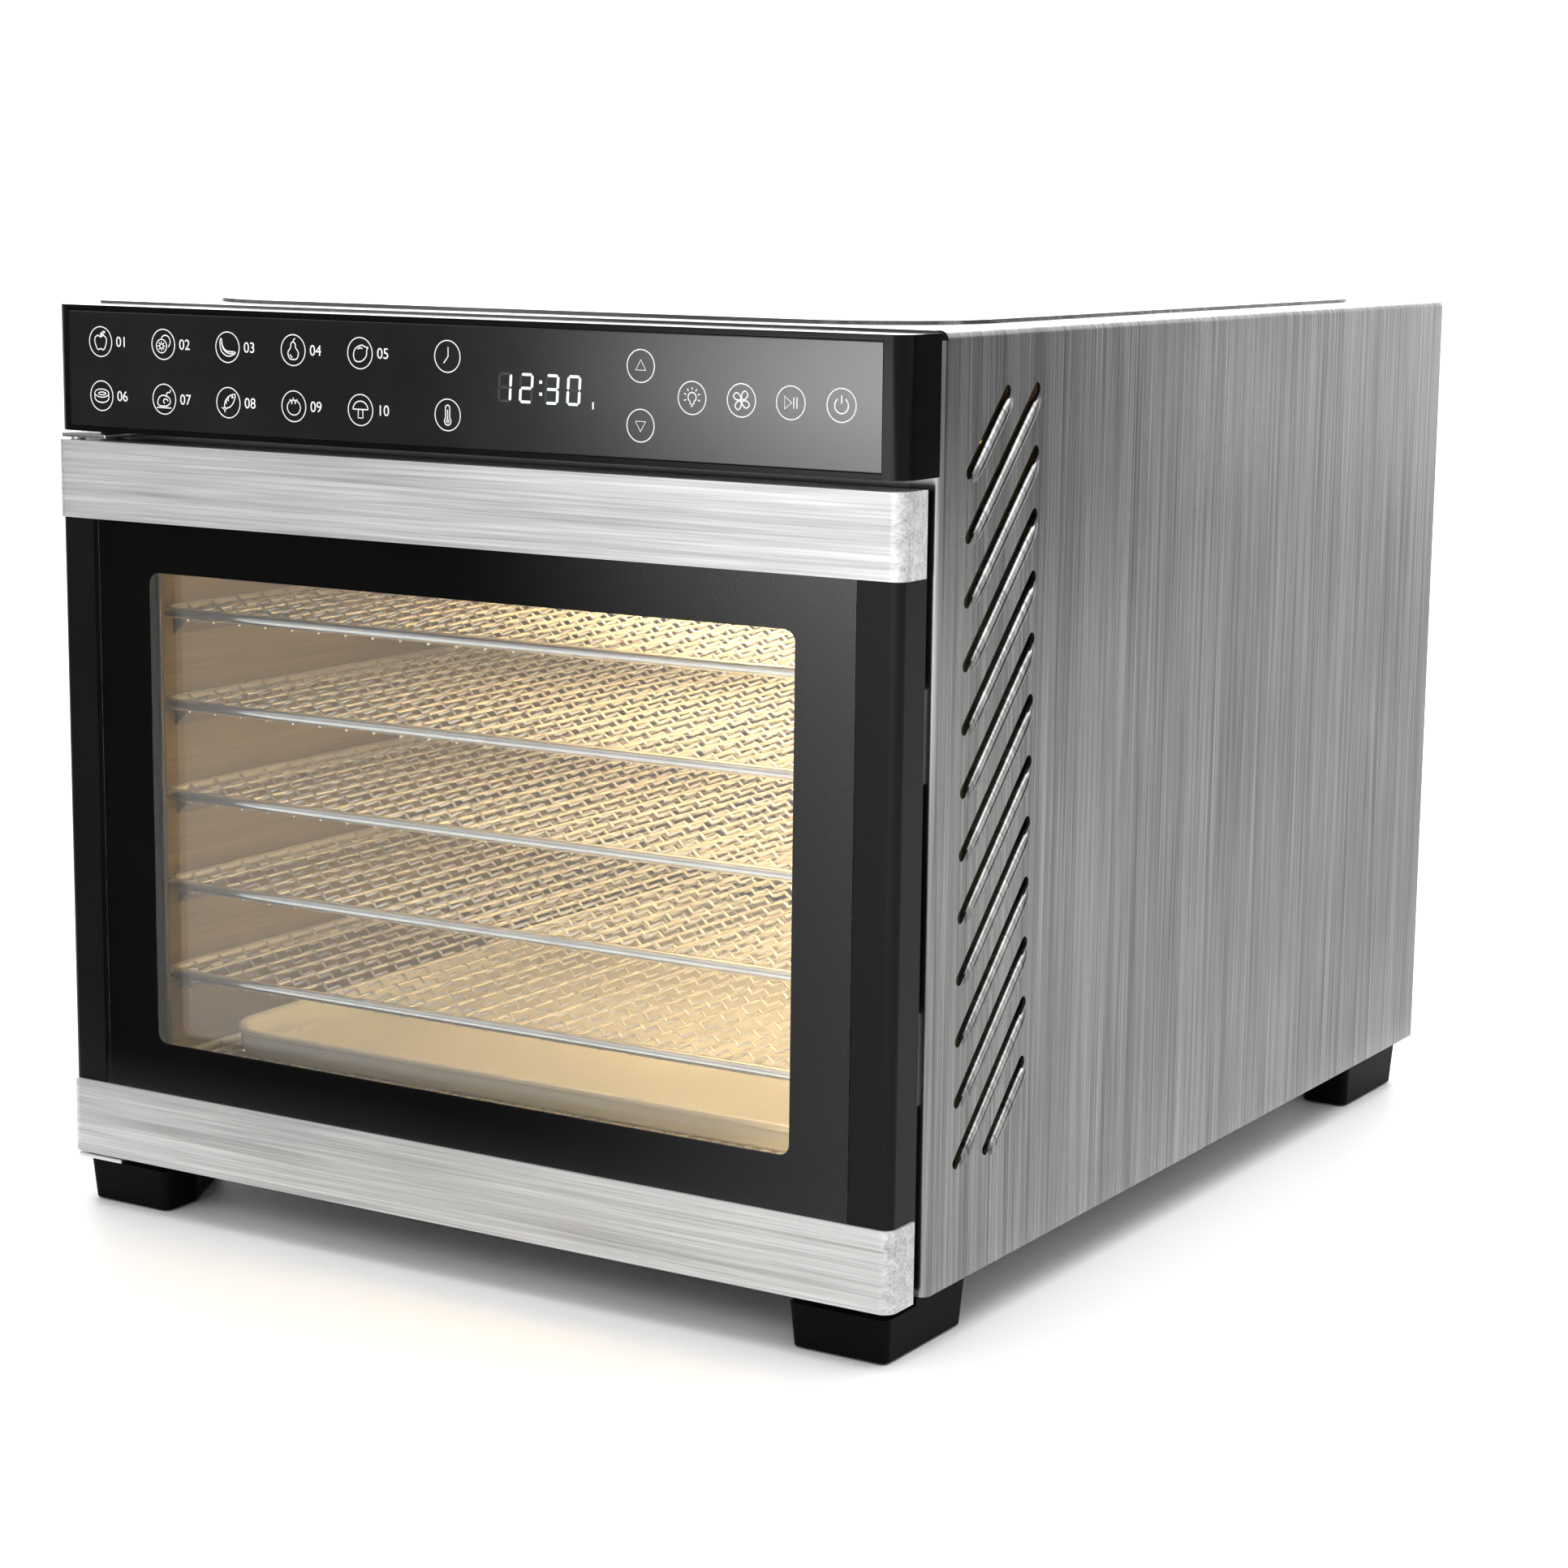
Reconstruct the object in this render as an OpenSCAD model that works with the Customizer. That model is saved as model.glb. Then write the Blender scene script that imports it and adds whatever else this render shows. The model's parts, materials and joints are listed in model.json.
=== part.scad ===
// Cabinet food dehydrator: a stainless case with a glazed side-hinged door, seven wire racks,
// a rear fan and ring heater, and a touch panel above the door.
// Local depth d runs rearwards from the door's front face, local height from the case floor.

/* [Case] */
// Outside width of the stainless case
case_w = 342; // [315:1:410]
// Outside height of the case, without the feet
case_h = 304; // [296:1:365]
// Depth of the case behind the door
case_d = 414; // [400:1:500]
// Thickness of the sheet metal
sheet_t = 1; // [0.8:0.1:1.2]
// Outside radius of the folded edges
fold_r = 3; // [2:0.5:5]
// Height of the raised field pressed in the top
emboss_h = 1.2; // [0.6:0.1:2]
// Distance from the case's edges to the raised field
emboss_inset = 18; // [15:1:40]
// Corner radius of the raised field
emboss_r = 46; // [20:1:70]

/* [Side vents] */
// Distance from the case's front edge to the vent band
vent_inset = 18; // [14:1:40]
// Width of the vent band along the case
vent_band = 44; // [30:1:60]
// Distance from the case floor to the vent band, and from its top to the case's top
vent_end = 40; // [25:1:60]
// Distance between slots, measured upwards
vent_pitch = 20; // [14:1:30]
// Width of a slot
vent_w = 4; // [3:0.5:5]
// How far the pressed lip of a slot stands out
lip_h = 1.2; // [0.6:0.1:2]

/* [Door] */
// Gap from each side of the door to the side of the case
door_reveal = 0.5; // [0.4:0.1:1.5]
// Height of the door
door_h = 256.5; // [252:0.5:260]
// Thickness of the door
door_t = 17; // [16:0.5:20]
// Height of the stainless bar along the top and bottom of the door
bar_h = 27; // [20:1:34]
// Outside radius of the door's front corners
door_r = 4.5; // [3:0.5:6]
// Width of the black strip between the door's side and its glass
strip_w = 16.3; // [14:0.1:22]
// Thickness of the outer pane
pane_t = 4; // [3:0.5:5]
// Thickness of the inner pane
inner_pane_t = 3; // [2:0.5:4]
// Black border of the outer pane at its sides
border_side = 23.2; // [20:0.1:34]
// Black border of the outer pane at its top and bottom
border_end = 17.8; // [15:0.1:26]
// Distance between the closed door and the case's front edge
door_gap = 5; // [4:0.5:8]

/* [Hinges] */
// Distance from the door's left side to the hinge axis
hinge_inset = 5.5; // [5:0.5:7]
// Distance from the door's front to the hinge axis
hinge_d = 6; // [5.5:0.5:7]
// Radius of the hinge pins
pin_r = 2.5; // [1.5:0.1:2.6]
// Radial running clearance of the hinge pins and the motor shaft
run_fit = 0.05; // [0.02:0.01:0.1]

/* [Touch panel] */
// Height of the panel housing
panel_h = 43.5; // [36:0.5:44]
// Width of the housing left visible round the panel's glass
panel_rim = 1.9; // [1.5:0.1:3]
// Radius of the housing's front corners
panel_r = 8; // [6:0.5:10]
// Width of the display's digit block
display_w = 38; // [30:1:60]
// Height of the display's digit block
display_h = 14; // [10:1:20]
// Distance from the middle of the panel to the middle of the display
display_x = 37.5; // [10:0.5:60]

/* [Drying chamber] */
// Height of the chamber's floor above the case floor
floor_z = 14; // [12:0.5:16]
// Thickness of the space between the chamber's side wall and the case
side_gap = 18; // [16:0.5:24]
// Height of the chamber's mouth
mouth_h = 232; // [230:1:236]
// Height of the lowest rack's wires above the case floor
first_rack_z = 31.2; // [26:0.1:34]
// Distance between racks
rack_pitch = 32.75; // [28:0.25:33.5]
// How far the ledges stand out from the side walls
ledge_w = 7; // [5:0.5:9]
// Plain wall between the chamber's mouth and the front end of the ledges
ledge_start = 18; // [10:1:30]

/* [Racks] */
// Play between a rack and each side wall
rack_play = 2; // [1.5:0.1:2.5]
// Length of a rack from front to back
rack_d = 328; // [300:1:328]
// Radius of a rack's frame wire
wire_r = 2; // [1.5:0.1:2.5]
// Radius of a rack's support wires
rod_r = 1; // [0.8:0.1:1.4]
// Corner radius of a rack, at the middle of its wire
rack_r = 14; // [8:1:24]
// Support wires each way
rods = 7; // [4:1:9]
// Rim height of the fruit roll tray
tray_h = 10; // [6:1:14]

/* [Fan and heater] */
// Radius of the fan wheel
fan_r = 58; // [45:1:62]
// Depth of the fan blades
blade_d = 20; // [14:1:22]
// Number of fan blades
blades = 10; // [6:1:14]
// Radius of the motor shaft
shaft_r = 2; // [1.5:0.1:2.5]
// Radius of the heater tube
heater_tube_r = 3.2; // [2.5:0.1:3.6]
// Depth of the cover that bulges from the back
cover_d = 14; // [10:1:20]

/* [Feet] */
// Height from the table to the case floor
foot_h = 19; // [16:1:24]
// Width of a foot
foot_w = 37; // [30:1:44]
// Length of a foot along its outer side
foot_d = 53; // [46:1:60]
// Length of a foot along its inner side
foot_inner_d = 19; // [18:1:30]

/* [Hidden] */
$fn = 64;

eps = 0.01;
fit = 0.1;          // play of a piece that drops into a recess
bar_t = 1;          // sheet of the door's stainless bars
overall_d = case_y() + case_d + cover_d;
function case_y() = door_t + door_gap;
function case_end() = case_y() + case_d;

// Chamber
chamber_w = case_w - 2 * (side_gap + sheet_t);
mouth_top = floor_z + mouth_h;
frame_y = case_y() + sheet_t;
chamber_y = frame_y + sheet_t;
rack_y = chamber_y + 3;
rack_w = chamber_w - 2 * rack_play;
baffle_y = rack_y + rack_d + 9;
rear_wall_y = baffle_y + sheet_t + 35;
fan_z = floor_z + mouth_h / 2;
guard_t = 1.2;

// Door: the glass runs from bar to bar
door_z = 0;
door_w = case_w - 2 * door_reveal;
glass_w = door_w - 2 * strip_w;
glass_lo = bar_h - 0.3;
glass_hi = door_h - bar_h + 0.3;
window_w = glass_w - 2 * border_side;
window_lo = glass_lo + border_end;
window_hi = glass_hi - border_end;
window_r = 4;
border_t = 0.4;
pane_y = bar_t;
border_y = pane_y + pane_t;
inner_frame_t = 2.5;
inner_pane_y = door_t - inner_frame_t - inner_pane_t;
inner_lap = 8;
gasket_w = 5;
gasket_x = chamber_w / 2 + 1.5;
gasket_lo = floor_z - 2.5 - gasket_w;
gasket_hi = mouth_top + 2.5 + gasket_w;
hinge_x = -door_w / 2 + hinge_inset;
bracket_t = 1.6;
bracket_gap = 0.8;
bracket_l = 20;
pin_l = 14;
flange_w = 8;
flange_x = case_w / 2 - fold_r;
magnet_w = 6;
magnet_l = 30;
magnet_t = 4;
magnet_x = case_w / 2 - fold_r - flange_w + 0.5;
magnet_zs = [door_h * 0.3, door_h * 0.7];

// Touch panel
panel_top = case_h - 0.7;
panel_z = panel_top - panel_h;
panel_wall = 2.5;
panel_glass_w = door_w - 2 * (panel_r - 0.3);
panel_glass_t = 2;
panel_front_t = 5;
display_z = panel_z + panel_h * 0.52;

// Fan, heater and lamp
shaft_front = baffle_y + sheet_t + 7;
wheel_y = shaft_front + 2;
motor_y = rear_wall_y + sheet_t + 9;
motor_w = 60;
motor_h = 50;
motor_t = 14;
boss_r = 8;
post_r = 4;
heater_r = fan_r + 10;
heater_y = baffle_y + sheet_t + 18;
lamp_x = chamber_w * 0.3;
lamp_y = chamber_y + 46;
lamp_r = 20;
probe_r = 2.5;
probe_x = chamber_w * 0.36;
probe_z = mouth_top - 7;
cover_r = 84;
cover_flange = 12;
inlet_x = -case_w / 2 + 52;
inlet_z = 42;
inlet_w = 28;
inlet_h = 22;
inlet_d = 22;
inlet_flange = 2;
board_x = case_w / 2 - 62;

// Feet
lip_gap = 3.7;      // the front feet pass this far under the door
pad_t = 1.5;
pad_proud = 0.8;
pad_r = 9;
foot_bottom = -foot_h + pad_proud;
foot_x = door_w / 2 - 3.5;
foot_y = 4.5;
rear_foot_y = case_end() - 6;
foot_screw_r = 2;
foot_hole = [foot_w * 0.42, foot_d * 0.6];

function rack_z(level) = first_rack_z + (level - 1) * rack_pitch;

// Places a child given in local depth and height
module in_case() {
    translate([0, -overall_d / 2, foot_h]) children();
}

// Box from its low corner to its high corner
module block(lo, hi) {
    translate(lo) cube(hi - lo);
}

// Extrusions of an outline drawn in the plane across the axis
module along_x(x0, x1) {
    translate([x0, 0, 0]) rotate([90, 0, 90]) linear_extrude(x1 - x0) children();
}

module along_y(y0, y1) {
    translate([0, y1, 0]) rotate([90, 0, 0]) linear_extrude(y1 - y0) children();
}

module along_z(z0, z1) {
    translate([0, 0, z0]) linear_extrude(z1 - z0) children();
}

module rod_y(x, z, r, y0, y1) {
    along_y(y0, y1) translate([x, z]) circle(r);
}

module mirrored() {
    children();
    mirror([1, 0, 0]) children();
}

// Rounded rectangle between two corners
module rounded(lo, hi, r) {
    translate([lo[0] + r, lo[1]]) square([hi[0] - lo[0] - 2 * r, hi[1] - lo[1]]);
    translate([lo[0], lo[1] + r]) square([hi[0] - lo[0], hi[1] - lo[1] - 2 * r]);
    for (x = [lo[0] + r, hi[0] - r], y = [lo[1] + r, hi[1] - r])
        translate([x, y]) circle(r);
}

// Rectangle ring between an outer and an inner rectangle, both with corners lo and hi
module ring(lo, hi, in_lo, in_hi) {
    difference() {
        translate(lo) square(hi - lo);
        translate(in_lo) square(in_hi - in_lo);
    }
}

// Half outline of a front with rounded corners, w wide, from y0 back to y1
module rounded_front(w, y0, y1, r) {
    translate([-w / 2, y0 + r]) square([w, y1 - y0 - r]);
    translate([-w / 2 + r, y0]) square([w - 2 * r, y1 - y0]);
    for (x = [-w / 2 + r, w / 2 - r]) translate([x, y0 + r]) circle(r);
}

// Slot with round ends from point a to point b
module slot(a, b, w) {
    run = b - a;
    translate(a) rotate(atan2(run[1], run[0])) {
        translate([0, -w / 2]) square([norm(run), w]);
        circle(w / 2);
        translate([norm(run), 0]) circle(w / 2);
    }
}

// ---- Case ----

module case_section(w, h, r) {
    translate([-w / 2, 0]) square([w, h - r]);
    translate([-w / 2 + r, 0]) square([w - 2 * r, h]);
    for (x = [-w / 2 + r, w / 2 - r]) translate([x, h - r]) circle(r);
}

module front_fold() {
    translate([flange_x, case_y() + fold_r]) intersection() {
        difference() {
            circle(fold_r);
            circle(fold_r - sheet_t);
        }
        translate([0, -fold_r]) square(fold_r);
    }
    translate([flange_x - flange_w, case_y()]) square([flange_w, sheet_t]);
}

// Start and end of every vent slot, as points [depth, height] on the case's side
vent_y = case_y() + vent_inset;
vent_top = case_h - vent_end / 2;
function vent_slots() = [for (z = [vent_end - vent_pitch : vent_pitch : vent_top])
    let (start = max(0, vent_end - z), end = min(vent_band, vent_top - z))
    if (end - start > vent_w) [[vent_y + start, z + start], [vent_y + end, z + end]]];

module outer_case() color("silver") in_case() {
    lip_w = lip_h * 1.8;
    lip = (vent_w + lip_w) / 2 - 0.4;
    difference() {
        union() {
            along_y(case_y() + fold_r, case_end()) difference() {
                case_section(case_w, case_h, fold_r);
                case_section(case_w - 2 * sheet_t, case_h - sheet_t, fold_r - sheet_t);
                translate([-case_w / 2 + sheet_t, -1]) square([case_w - 2 * sheet_t, 2]);
            }
            block([-flange_x, case_y(), case_h - sheet_t], [flange_x, case_y() + fold_r, case_h]);
            mirrored() along_z(0, case_h - fold_r) front_fold();
            along_z(case_h - eps, case_h + emboss_h) rounded(
                [-case_w / 2 + emboss_inset, case_y() + emboss_inset],
                [case_w / 2 - emboss_inset, case_end() - emboss_inset], emboss_r);
            mirrored() for (s = vent_slots())
                along_x(case_w / 2 - sheet_t / 2, case_w / 2 + lip_h)
                    translate([lip * sin(45), -lip * cos(45)]) slot(s[0], s[1], lip_w);
        }
        along_z(case_h - sheet_t - eps, case_h + emboss_h - sheet_t) rounded(
            [-case_w / 2 + emboss_inset + sheet_t, case_y() + emboss_inset + sheet_t],
            [case_w / 2 - emboss_inset - sheet_t, case_end() - emboss_inset - sheet_t],
            emboss_r - sheet_t);
        mirrored() for (s = vent_slots())
            along_x(case_w / 2 - 2 * sheet_t, case_w / 2 + 2 * lip_h) slot(s[0], s[1], vent_w);
    }
}

module base_pan() color("gainsboro") in_case() {
    inner = case_w / 2 - sheet_t;
    front = case_y() + fold_r;
    lip = 8;
    difference() {
        union() {
            block([-inner, front, 0], [inner, case_end() - sheet_t, sheet_t]);
            mirrored() block([inner - sheet_t, front, 0], [inner, case_end() - sheet_t, lip]);
        }
        foot_places() cylinder(h = 4 * sheet_t, r = foot_screw_r + 0.3, center = true);
        for (x = [-60 : 15 : 60])
            along_z(-1, 2 * sheet_t) slot([x, case_end() - 110], [x, case_end() - 60], 5);
    }
}

module back_panel() color("gainsboro") in_case() {
    difference() {
        along_y(case_end() - sheet_t, case_end())
            case_section(case_w - 2 * sheet_t, case_h - sheet_t, fold_r - sheet_t);
        rod_y(0, fan_z, cover_r - 4, case_end() - 2 * sheet_t, case_end() + sheet_t);
        block([inlet_x - inlet_w / 2 - fit, case_end() - 2 * sheet_t, inlet_z - inlet_h / 2 - fit],
            [inlet_x + inlet_w / 2 + fit, case_end() + sheet_t, inlet_z + inlet_h / 2 + fit]);
    }
}

module front_frame() color("silver") in_case() {
    inner = case_w / 2 - fold_r;
    along_y(frame_y, chamber_y) difference() {
        translate([-inner, 0]) square([2 * inner, case_h - sheet_t]);
        translate([-chamber_w / 2, floor_z]) square([chamber_w, mouth_h]);
        translate([-20, panel_z + panel_h / 2 - 6]) square([40, 12]);
    }
}

// ---- Drying chamber ----

module chamber_wall() {
    x = chamber_w / 2;
    block([x, chamber_y, floor_z], [x + sheet_t, rear_wall_y, mouth_top]);
    for (level = [1 : 7]) {
        top = rack_z(level) - wire_r - 0.3;
        along_y(chamber_y + ledge_start, baffle_y - 4)
            polygon([[x + eps, top], [x - ledge_w, top], [x - ledge_w, top - 1.5], [x + eps, top - 8]]);
    }
}

module chamber_wall_right() color("tan") in_case() {
    chamber_wall();
}

module chamber_wall_left() color("tan") in_case() {
    mirror([1, 0, 0]) chamber_wall();
}

module chamber_roof() color("tan") in_case() {
    x = chamber_w / 2 + sheet_t;
    difference() {
        block([-x, chamber_y, mouth_top], [x, rear_wall_y, mouth_top + sheet_t]);
        translate([lamp_x, lamp_y, mouth_top]) cylinder(h = 4 * sheet_t, r = lamp_r, center = true);
    }
}

module chamber_floor() color("tan") in_case() {
    x = chamber_w / 2 + sheet_t;
    block([-x, chamber_y, floor_z - sheet_t], [x, rear_wall_y, floor_z]);
}

module air_baffle() color("tan") in_case() {
    x = chamber_w / 2;
    along_y(baffle_y, baffle_y + sheet_t) difference() {
        translate([-x, floor_z]) square([2 * x, mouth_h]);
        translate([0, fan_z]) circle(fan_r + 2);
        for (side = [-1, 1], level = [1 : 6]) {
            z = rack_z(level) + rack_pitch / 2;
            slot([side * (x - 50), z], [side * (x - 16), z], 8);
        }
        translate([probe_x, probe_z]) circle(probe_r);
    }
}

module rear_wall() color("tan") in_case() {
    x = chamber_w / 2 + sheet_t;
    along_y(rear_wall_y, rear_wall_y + sheet_t) difference() {
        translate([-x, floor_z - sheet_t]) square([2 * x, mouth_h + 2 * sheet_t]);
        translate([0, fan_z]) circle(boss_r);
    }
}

module fan_guard() color("gray") in_case() {
    outer = fan_r + 8;
    along_y(baffle_y - guard_t, baffle_y) translate([0, fan_z]) {
        for (r = [outer / 4 : outer / 4 : outer]) difference() {
            circle(r);
            circle(r - 3);
        }
        for (a = [0 : 45 : 135]) rotate(a) square([2 * outer - 2, 3], center = true);
    }
}

// ---- Touch panel ----

module panel_housing() color([0.05, 0.05, 0.05]) in_case() {
    inner_w = door_w - 2 * panel_wall;
    difference() {
        along_z(panel_z, panel_top) rounded_front(door_w, 0, case_y(), panel_r);
        along_z(panel_z + panel_wall, panel_top - panel_wall) difference() {
            translate([-inner_w / 2, panel_front_t]) square([inner_w, case_y()]);
            for (side = [-1, 1]) translate([side * inner_w / 2, 0])
                square([2 * panel_r, 2 * panel_r + 2], center = true);
        }
        block([-panel_glass_w / 2, -1, panel_z + panel_rim],
            [panel_glass_w / 2, panel_glass_t, panel_top - panel_rim]);
        block([display_x - display_w / 2 - fit, 0, display_z - display_h / 2 - fit],
            [display_x + display_w / 2 + fit, case_y(), display_z + display_h / 2 + fit]);
    }
}

module panel_glass() color([0.02, 0.02, 0.03]) in_case() {
    block([-panel_glass_w / 2, 0, panel_z + panel_rim],
        [panel_glass_w / 2, panel_glass_t, panel_top - panel_rim]);
}

module display_module() color("white") in_case() {
    block([display_x - display_w / 2, panel_glass_t, display_z - display_h / 2],
        [display_x + display_w / 2, panel_glass_t + 6, display_z + display_h / 2]);
}

module control_board() color("darkgreen") in_case() {
    w = door_w - 60;
    z0 = panel_z + panel_wall + 2;
    z1 = panel_top - panel_wall - 2;
    block([-w / 2, panel_glass_t + 6, z0], [w / 2, panel_glass_t + 7.6, z1]);
    for (x = [-w / 2 + 20 : 40 : w / 2 - 20])
        block([x, panel_glass_t + 7.6 - eps, z0 + 6], [x + 12, panel_glass_t + 10, z0 + 18]);
}

// ---- Hinges and catches ----

module bracket(plate_z, leg_lo, leg_hi) {
    block([-flange_x, 1, plate_z], [-flange_x + bracket_l, case_y(), plate_z + bracket_t]);
    block([-flange_x, case_y() - bracket_t, leg_lo], [-flange_x + flange_w - 1, case_y(), leg_hi]);
}

top_plate_z = door_z + door_h + bracket_gap;
low_plate_z = door_z - bracket_gap - bracket_t;

module hinge_brackets() color("silver") in_case() {
    bracket(top_plate_z, top_plate_z - 26, top_plate_z + eps);
    bracket(low_plate_z, low_plate_z, low_plate_z + 28);
}

module hinge_pins() color("silver") in_case() {
    for (z = [top_plate_z - pin_l, low_plate_z + bracket_t])
        translate([hinge_x, hinge_d, z]) cylinder(h = pin_l, r = pin_r);
}

module strike_plates() color("gray") in_case() {
    for (z = magnet_zs)
        block([magnet_x, door_t + 0.3, z - magnet_l / 2], [magnet_x + magnet_w, case_y(), z + magnet_l / 2]);
}

module door_magnets() color("dimgray") in_case() {
    for (z = magnet_zs)
        block([magnet_x, door_t - magnet_t, z - magnet_l / 2], [magnet_x + magnet_w, door_t, z + magnet_l / 2]);
}

// ---- Door ----

module door_frame() color([0.04, 0.04, 0.04]) in_case() {
    w = door_w - 2 * bar_t;
    sight = 3;
    difference() {
        along_z(door_z + bar_t, door_z + door_h - bar_t)
            rounded_front(w, bar_t, door_t, door_r - bar_t);
        block([-glass_w / 2 - fit, 0, glass_lo - fit], [glass_w / 2 + fit, border_y + border_t, glass_hi + fit]);
        block([-window_w / 2 - sight, 0, window_lo - sight], [window_w / 2 + sight, door_t + 1, window_hi + sight]);
        block([-window_w / 2 - sight - inner_lap - fit, inner_pane_y, window_lo - sight - inner_lap - fit],
            [window_w / 2 + sight + inner_lap + fit, door_t + 1, window_hi + sight + inner_lap + fit]);
        block([-window_w / 2 - 2 * inner_lap - fit, door_t - inner_frame_t, window_lo - 2 * inner_lap - fit],
            [window_w / 2 + 2 * inner_lap + fit, door_t + 1, window_hi + 2 * inner_lap + fit]);
        for (z = magnet_zs)
            block([magnet_x - fit, door_t - magnet_t, z - magnet_l / 2 - fit],
                [magnet_x + magnet_w + fit, door_t + 1, z + magnet_l / 2 + fit]);
        for (z = [door_z - 1, door_z + door_h - pin_l + bracket_gap - 1])
            translate([hinge_x, hinge_d, z]) cylinder(h = pin_l + 1, r = pin_r + run_fit);
    }
}

module door_bar(z0, z1, cap_z) {
    difference() {
        union() {
            along_z(z0, z1) difference() {
                rounded_front(door_w, 0, door_t - 2, door_r);
                rounded_front(door_w - 2 * bar_t, bar_t, door_t - 1, door_r - bar_t);
            }
            along_z(cap_z, cap_z + bar_t) rounded_front(door_w, 0, door_t - 2, door_r);
        }
        translate([hinge_x, hinge_d, cap_z - 1]) cylinder(h = bar_t + 2, r = pin_r + 0.5);
    }
}

module door_top_bar() color("silver") in_case() {
    door_bar(door_z + door_h - bar_h, door_z + door_h, door_z + door_h - bar_t);
}

module door_bottom_bar() color("silver") in_case() {
    door_bar(door_z, door_z + bar_h, door_z);
}

module door_glass() color([0.1, 0.1, 0.12, 0.4]) in_case() {
    block([-glass_w / 2, pane_y, glass_lo], [glass_w / 2, border_y, glass_hi]);
}

module window_border() color("black") in_case() {
    along_y(border_y, border_y + border_t) difference() {
        translate([-glass_w / 2, glass_lo]) square([glass_w, glass_hi - glass_lo]);
        rounded([-window_w / 2, window_lo], [window_w / 2, window_hi], window_r);
    }
}

module inner_glass() color([0.7, 0.8, 0.8, 0.3]) in_case() {
    m = 3 + inner_lap;
    block([-window_w / 2 - m, inner_pane_y, window_lo - m],
        [window_w / 2 + m, inner_pane_y + inner_pane_t, window_hi + m]);
}

module inner_frame() color([0.06, 0.06, 0.06]) in_case() {
    m = 2 * inner_lap;
    along_y(door_t - inner_frame_t, door_t) ring([-window_w / 2 - m, window_lo - m],
        [window_w / 2 + m, window_hi + m], [-window_w / 2 - 3, window_lo - 3], [window_w / 2 + 3, window_hi + 3]);
}

module door_gasket() color("gray") in_case() {
    outer = gasket_x + gasket_w;
    along_y(door_t, frame_y) ring([-outer, gasket_lo], [outer, gasket_hi],
        [-gasket_x, gasket_lo + gasket_w], [gasket_x, gasket_hi - gasket_w]);
}

// ---- Racks ----

// Closed wire frame with round corners, with straight support wires across it
module rack(level) {
    x = rack_w / 2 - wire_r;
    y0 = rack_y + wire_r;
    y1 = rack_y + rack_d - wire_r;
    translate([0, 0, rack_z(level)]) {
        for (side = [-1, 1])
            rod_y(side * x, 0, wire_r, y0 + rack_r, y1 - rack_r);
        for (y = [y0, y1])
            along_x(-x + rack_r, x - rack_r) translate([y, 0]) circle(wire_r);
        for (c = [[x, y1, 0], [-x, y1, 90], [-x, y0, 180], [x, y0, 270]])
            translate([c[0] - sign(c[0]) * rack_r, c[1] + (c[1] > y0 ? -rack_r : rack_r), 0])
                rotate(c[2]) rotate_extrude(angle = 90) translate([rack_r, 0]) circle(wire_r);
        for (i = [1 : rods]) {
            rod_y(-x + 2 * x * i / (rods + 1), 0, rod_r, y0, y1);
            along_x(-x, x) translate([y0 + (y1 - y0) * i / (rods + 1), 0]) circle(rod_r);
        }
    }
}

module rack_1() color("silver") in_case() rack(1);
module rack_2() color("silver") in_case() rack(2);
module rack_3() color("silver") in_case() rack(3);
module rack_4() color("silver") in_case() rack(4);
module rack_5() color("silver") in_case() rack(5);
module rack_6() color("silver") in_case() rack(6);
module rack_7() color("silver") in_case() rack(7);

sheet_z = rack_z(1) + rod_r;
liner_inset = 12;   // from the rack's edge to the mesh sheet and tray lying on it

module mesh_sheet() color("whitesmoke") in_case() {
    x = rack_w / 2 - liner_inset;
    y0 = rack_y + liner_inset;
    y1 = rack_y + rack_d - liner_inset;
    hole = 20;
    rib = 4;
    along_z(sheet_z, sheet_z + rod_r) difference() {
        rounded([-x, y0], [x, y1], 10);
        for (a = [-x + 15 : hole + rib : x - 15 - hole], b = [y0 + 15 : hole + rib : y1 - 15 - hole])
            translate([a, b]) square(hole);
    }
}

module fruit_roll_tray() color("white") in_case() {
    x = rack_w / 2 - liner_inset - 2;
    y0 = rack_y + liner_inset + 2;
    y1 = rack_y + rack_d - liner_inset - 2;
    z = sheet_z + rod_r;
    wall = 1.6;
    difference() {
        along_z(z, z + tray_h) rounded([-x, y0], [x, y1], 22);
        along_z(z + wall, z + tray_h + 1) rounded([-x + wall, y0 + wall], [x - wall, y1 - wall], 22 - wall);
    }
}

// ---- Fan, motor and heater ----

module fan_wheel() color("silver") in_case() {
    back = wheel_y + blade_d;
    difference() {
        union() {
            rod_y(0, fan_z, fan_r, back, back + 1.2);
            rod_y(0, fan_z, 9, wheel_y, back + 1.2);
            for (i = [0 : blades - 1]) translate([0, 0, fan_z]) rotate([0, i * 360 / blades, 0])
                translate([fan_r * 0.5, wheel_y, 0]) rotate([0, 28, 0])
                    cube([fan_r * 0.4, blade_d + eps, 1.2]);
        }
        rod_y(0, fan_z, shaft_r, wheel_y - 1, back + 2);
    }
}

module fan_shaft() color("silver") in_case() {
    rod_y(0, fan_z, shaft_r, shaft_front, motor_y + motor_t - 3);
}

module fan_motor() color("dimgray") in_case() {
    z0 = fan_z - motor_h / 2;
    difference() {
        union() {
            block([-motor_w / 2, motor_y, z0], [motor_w / 2, motor_y + motor_t, z0 + motor_h]);
            block([-14, motor_y - 4, z0 - 14], [14, motor_y + motor_t + 4, z0 + eps]);
            rod_y(0, fan_z, boss_r - 1, rear_wall_y - 2, motor_y + eps);
        }
        rod_y(0, fan_z, shaft_r + run_fit, rear_wall_y - 3, motor_y + motor_t - 2);
    }
}

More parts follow.
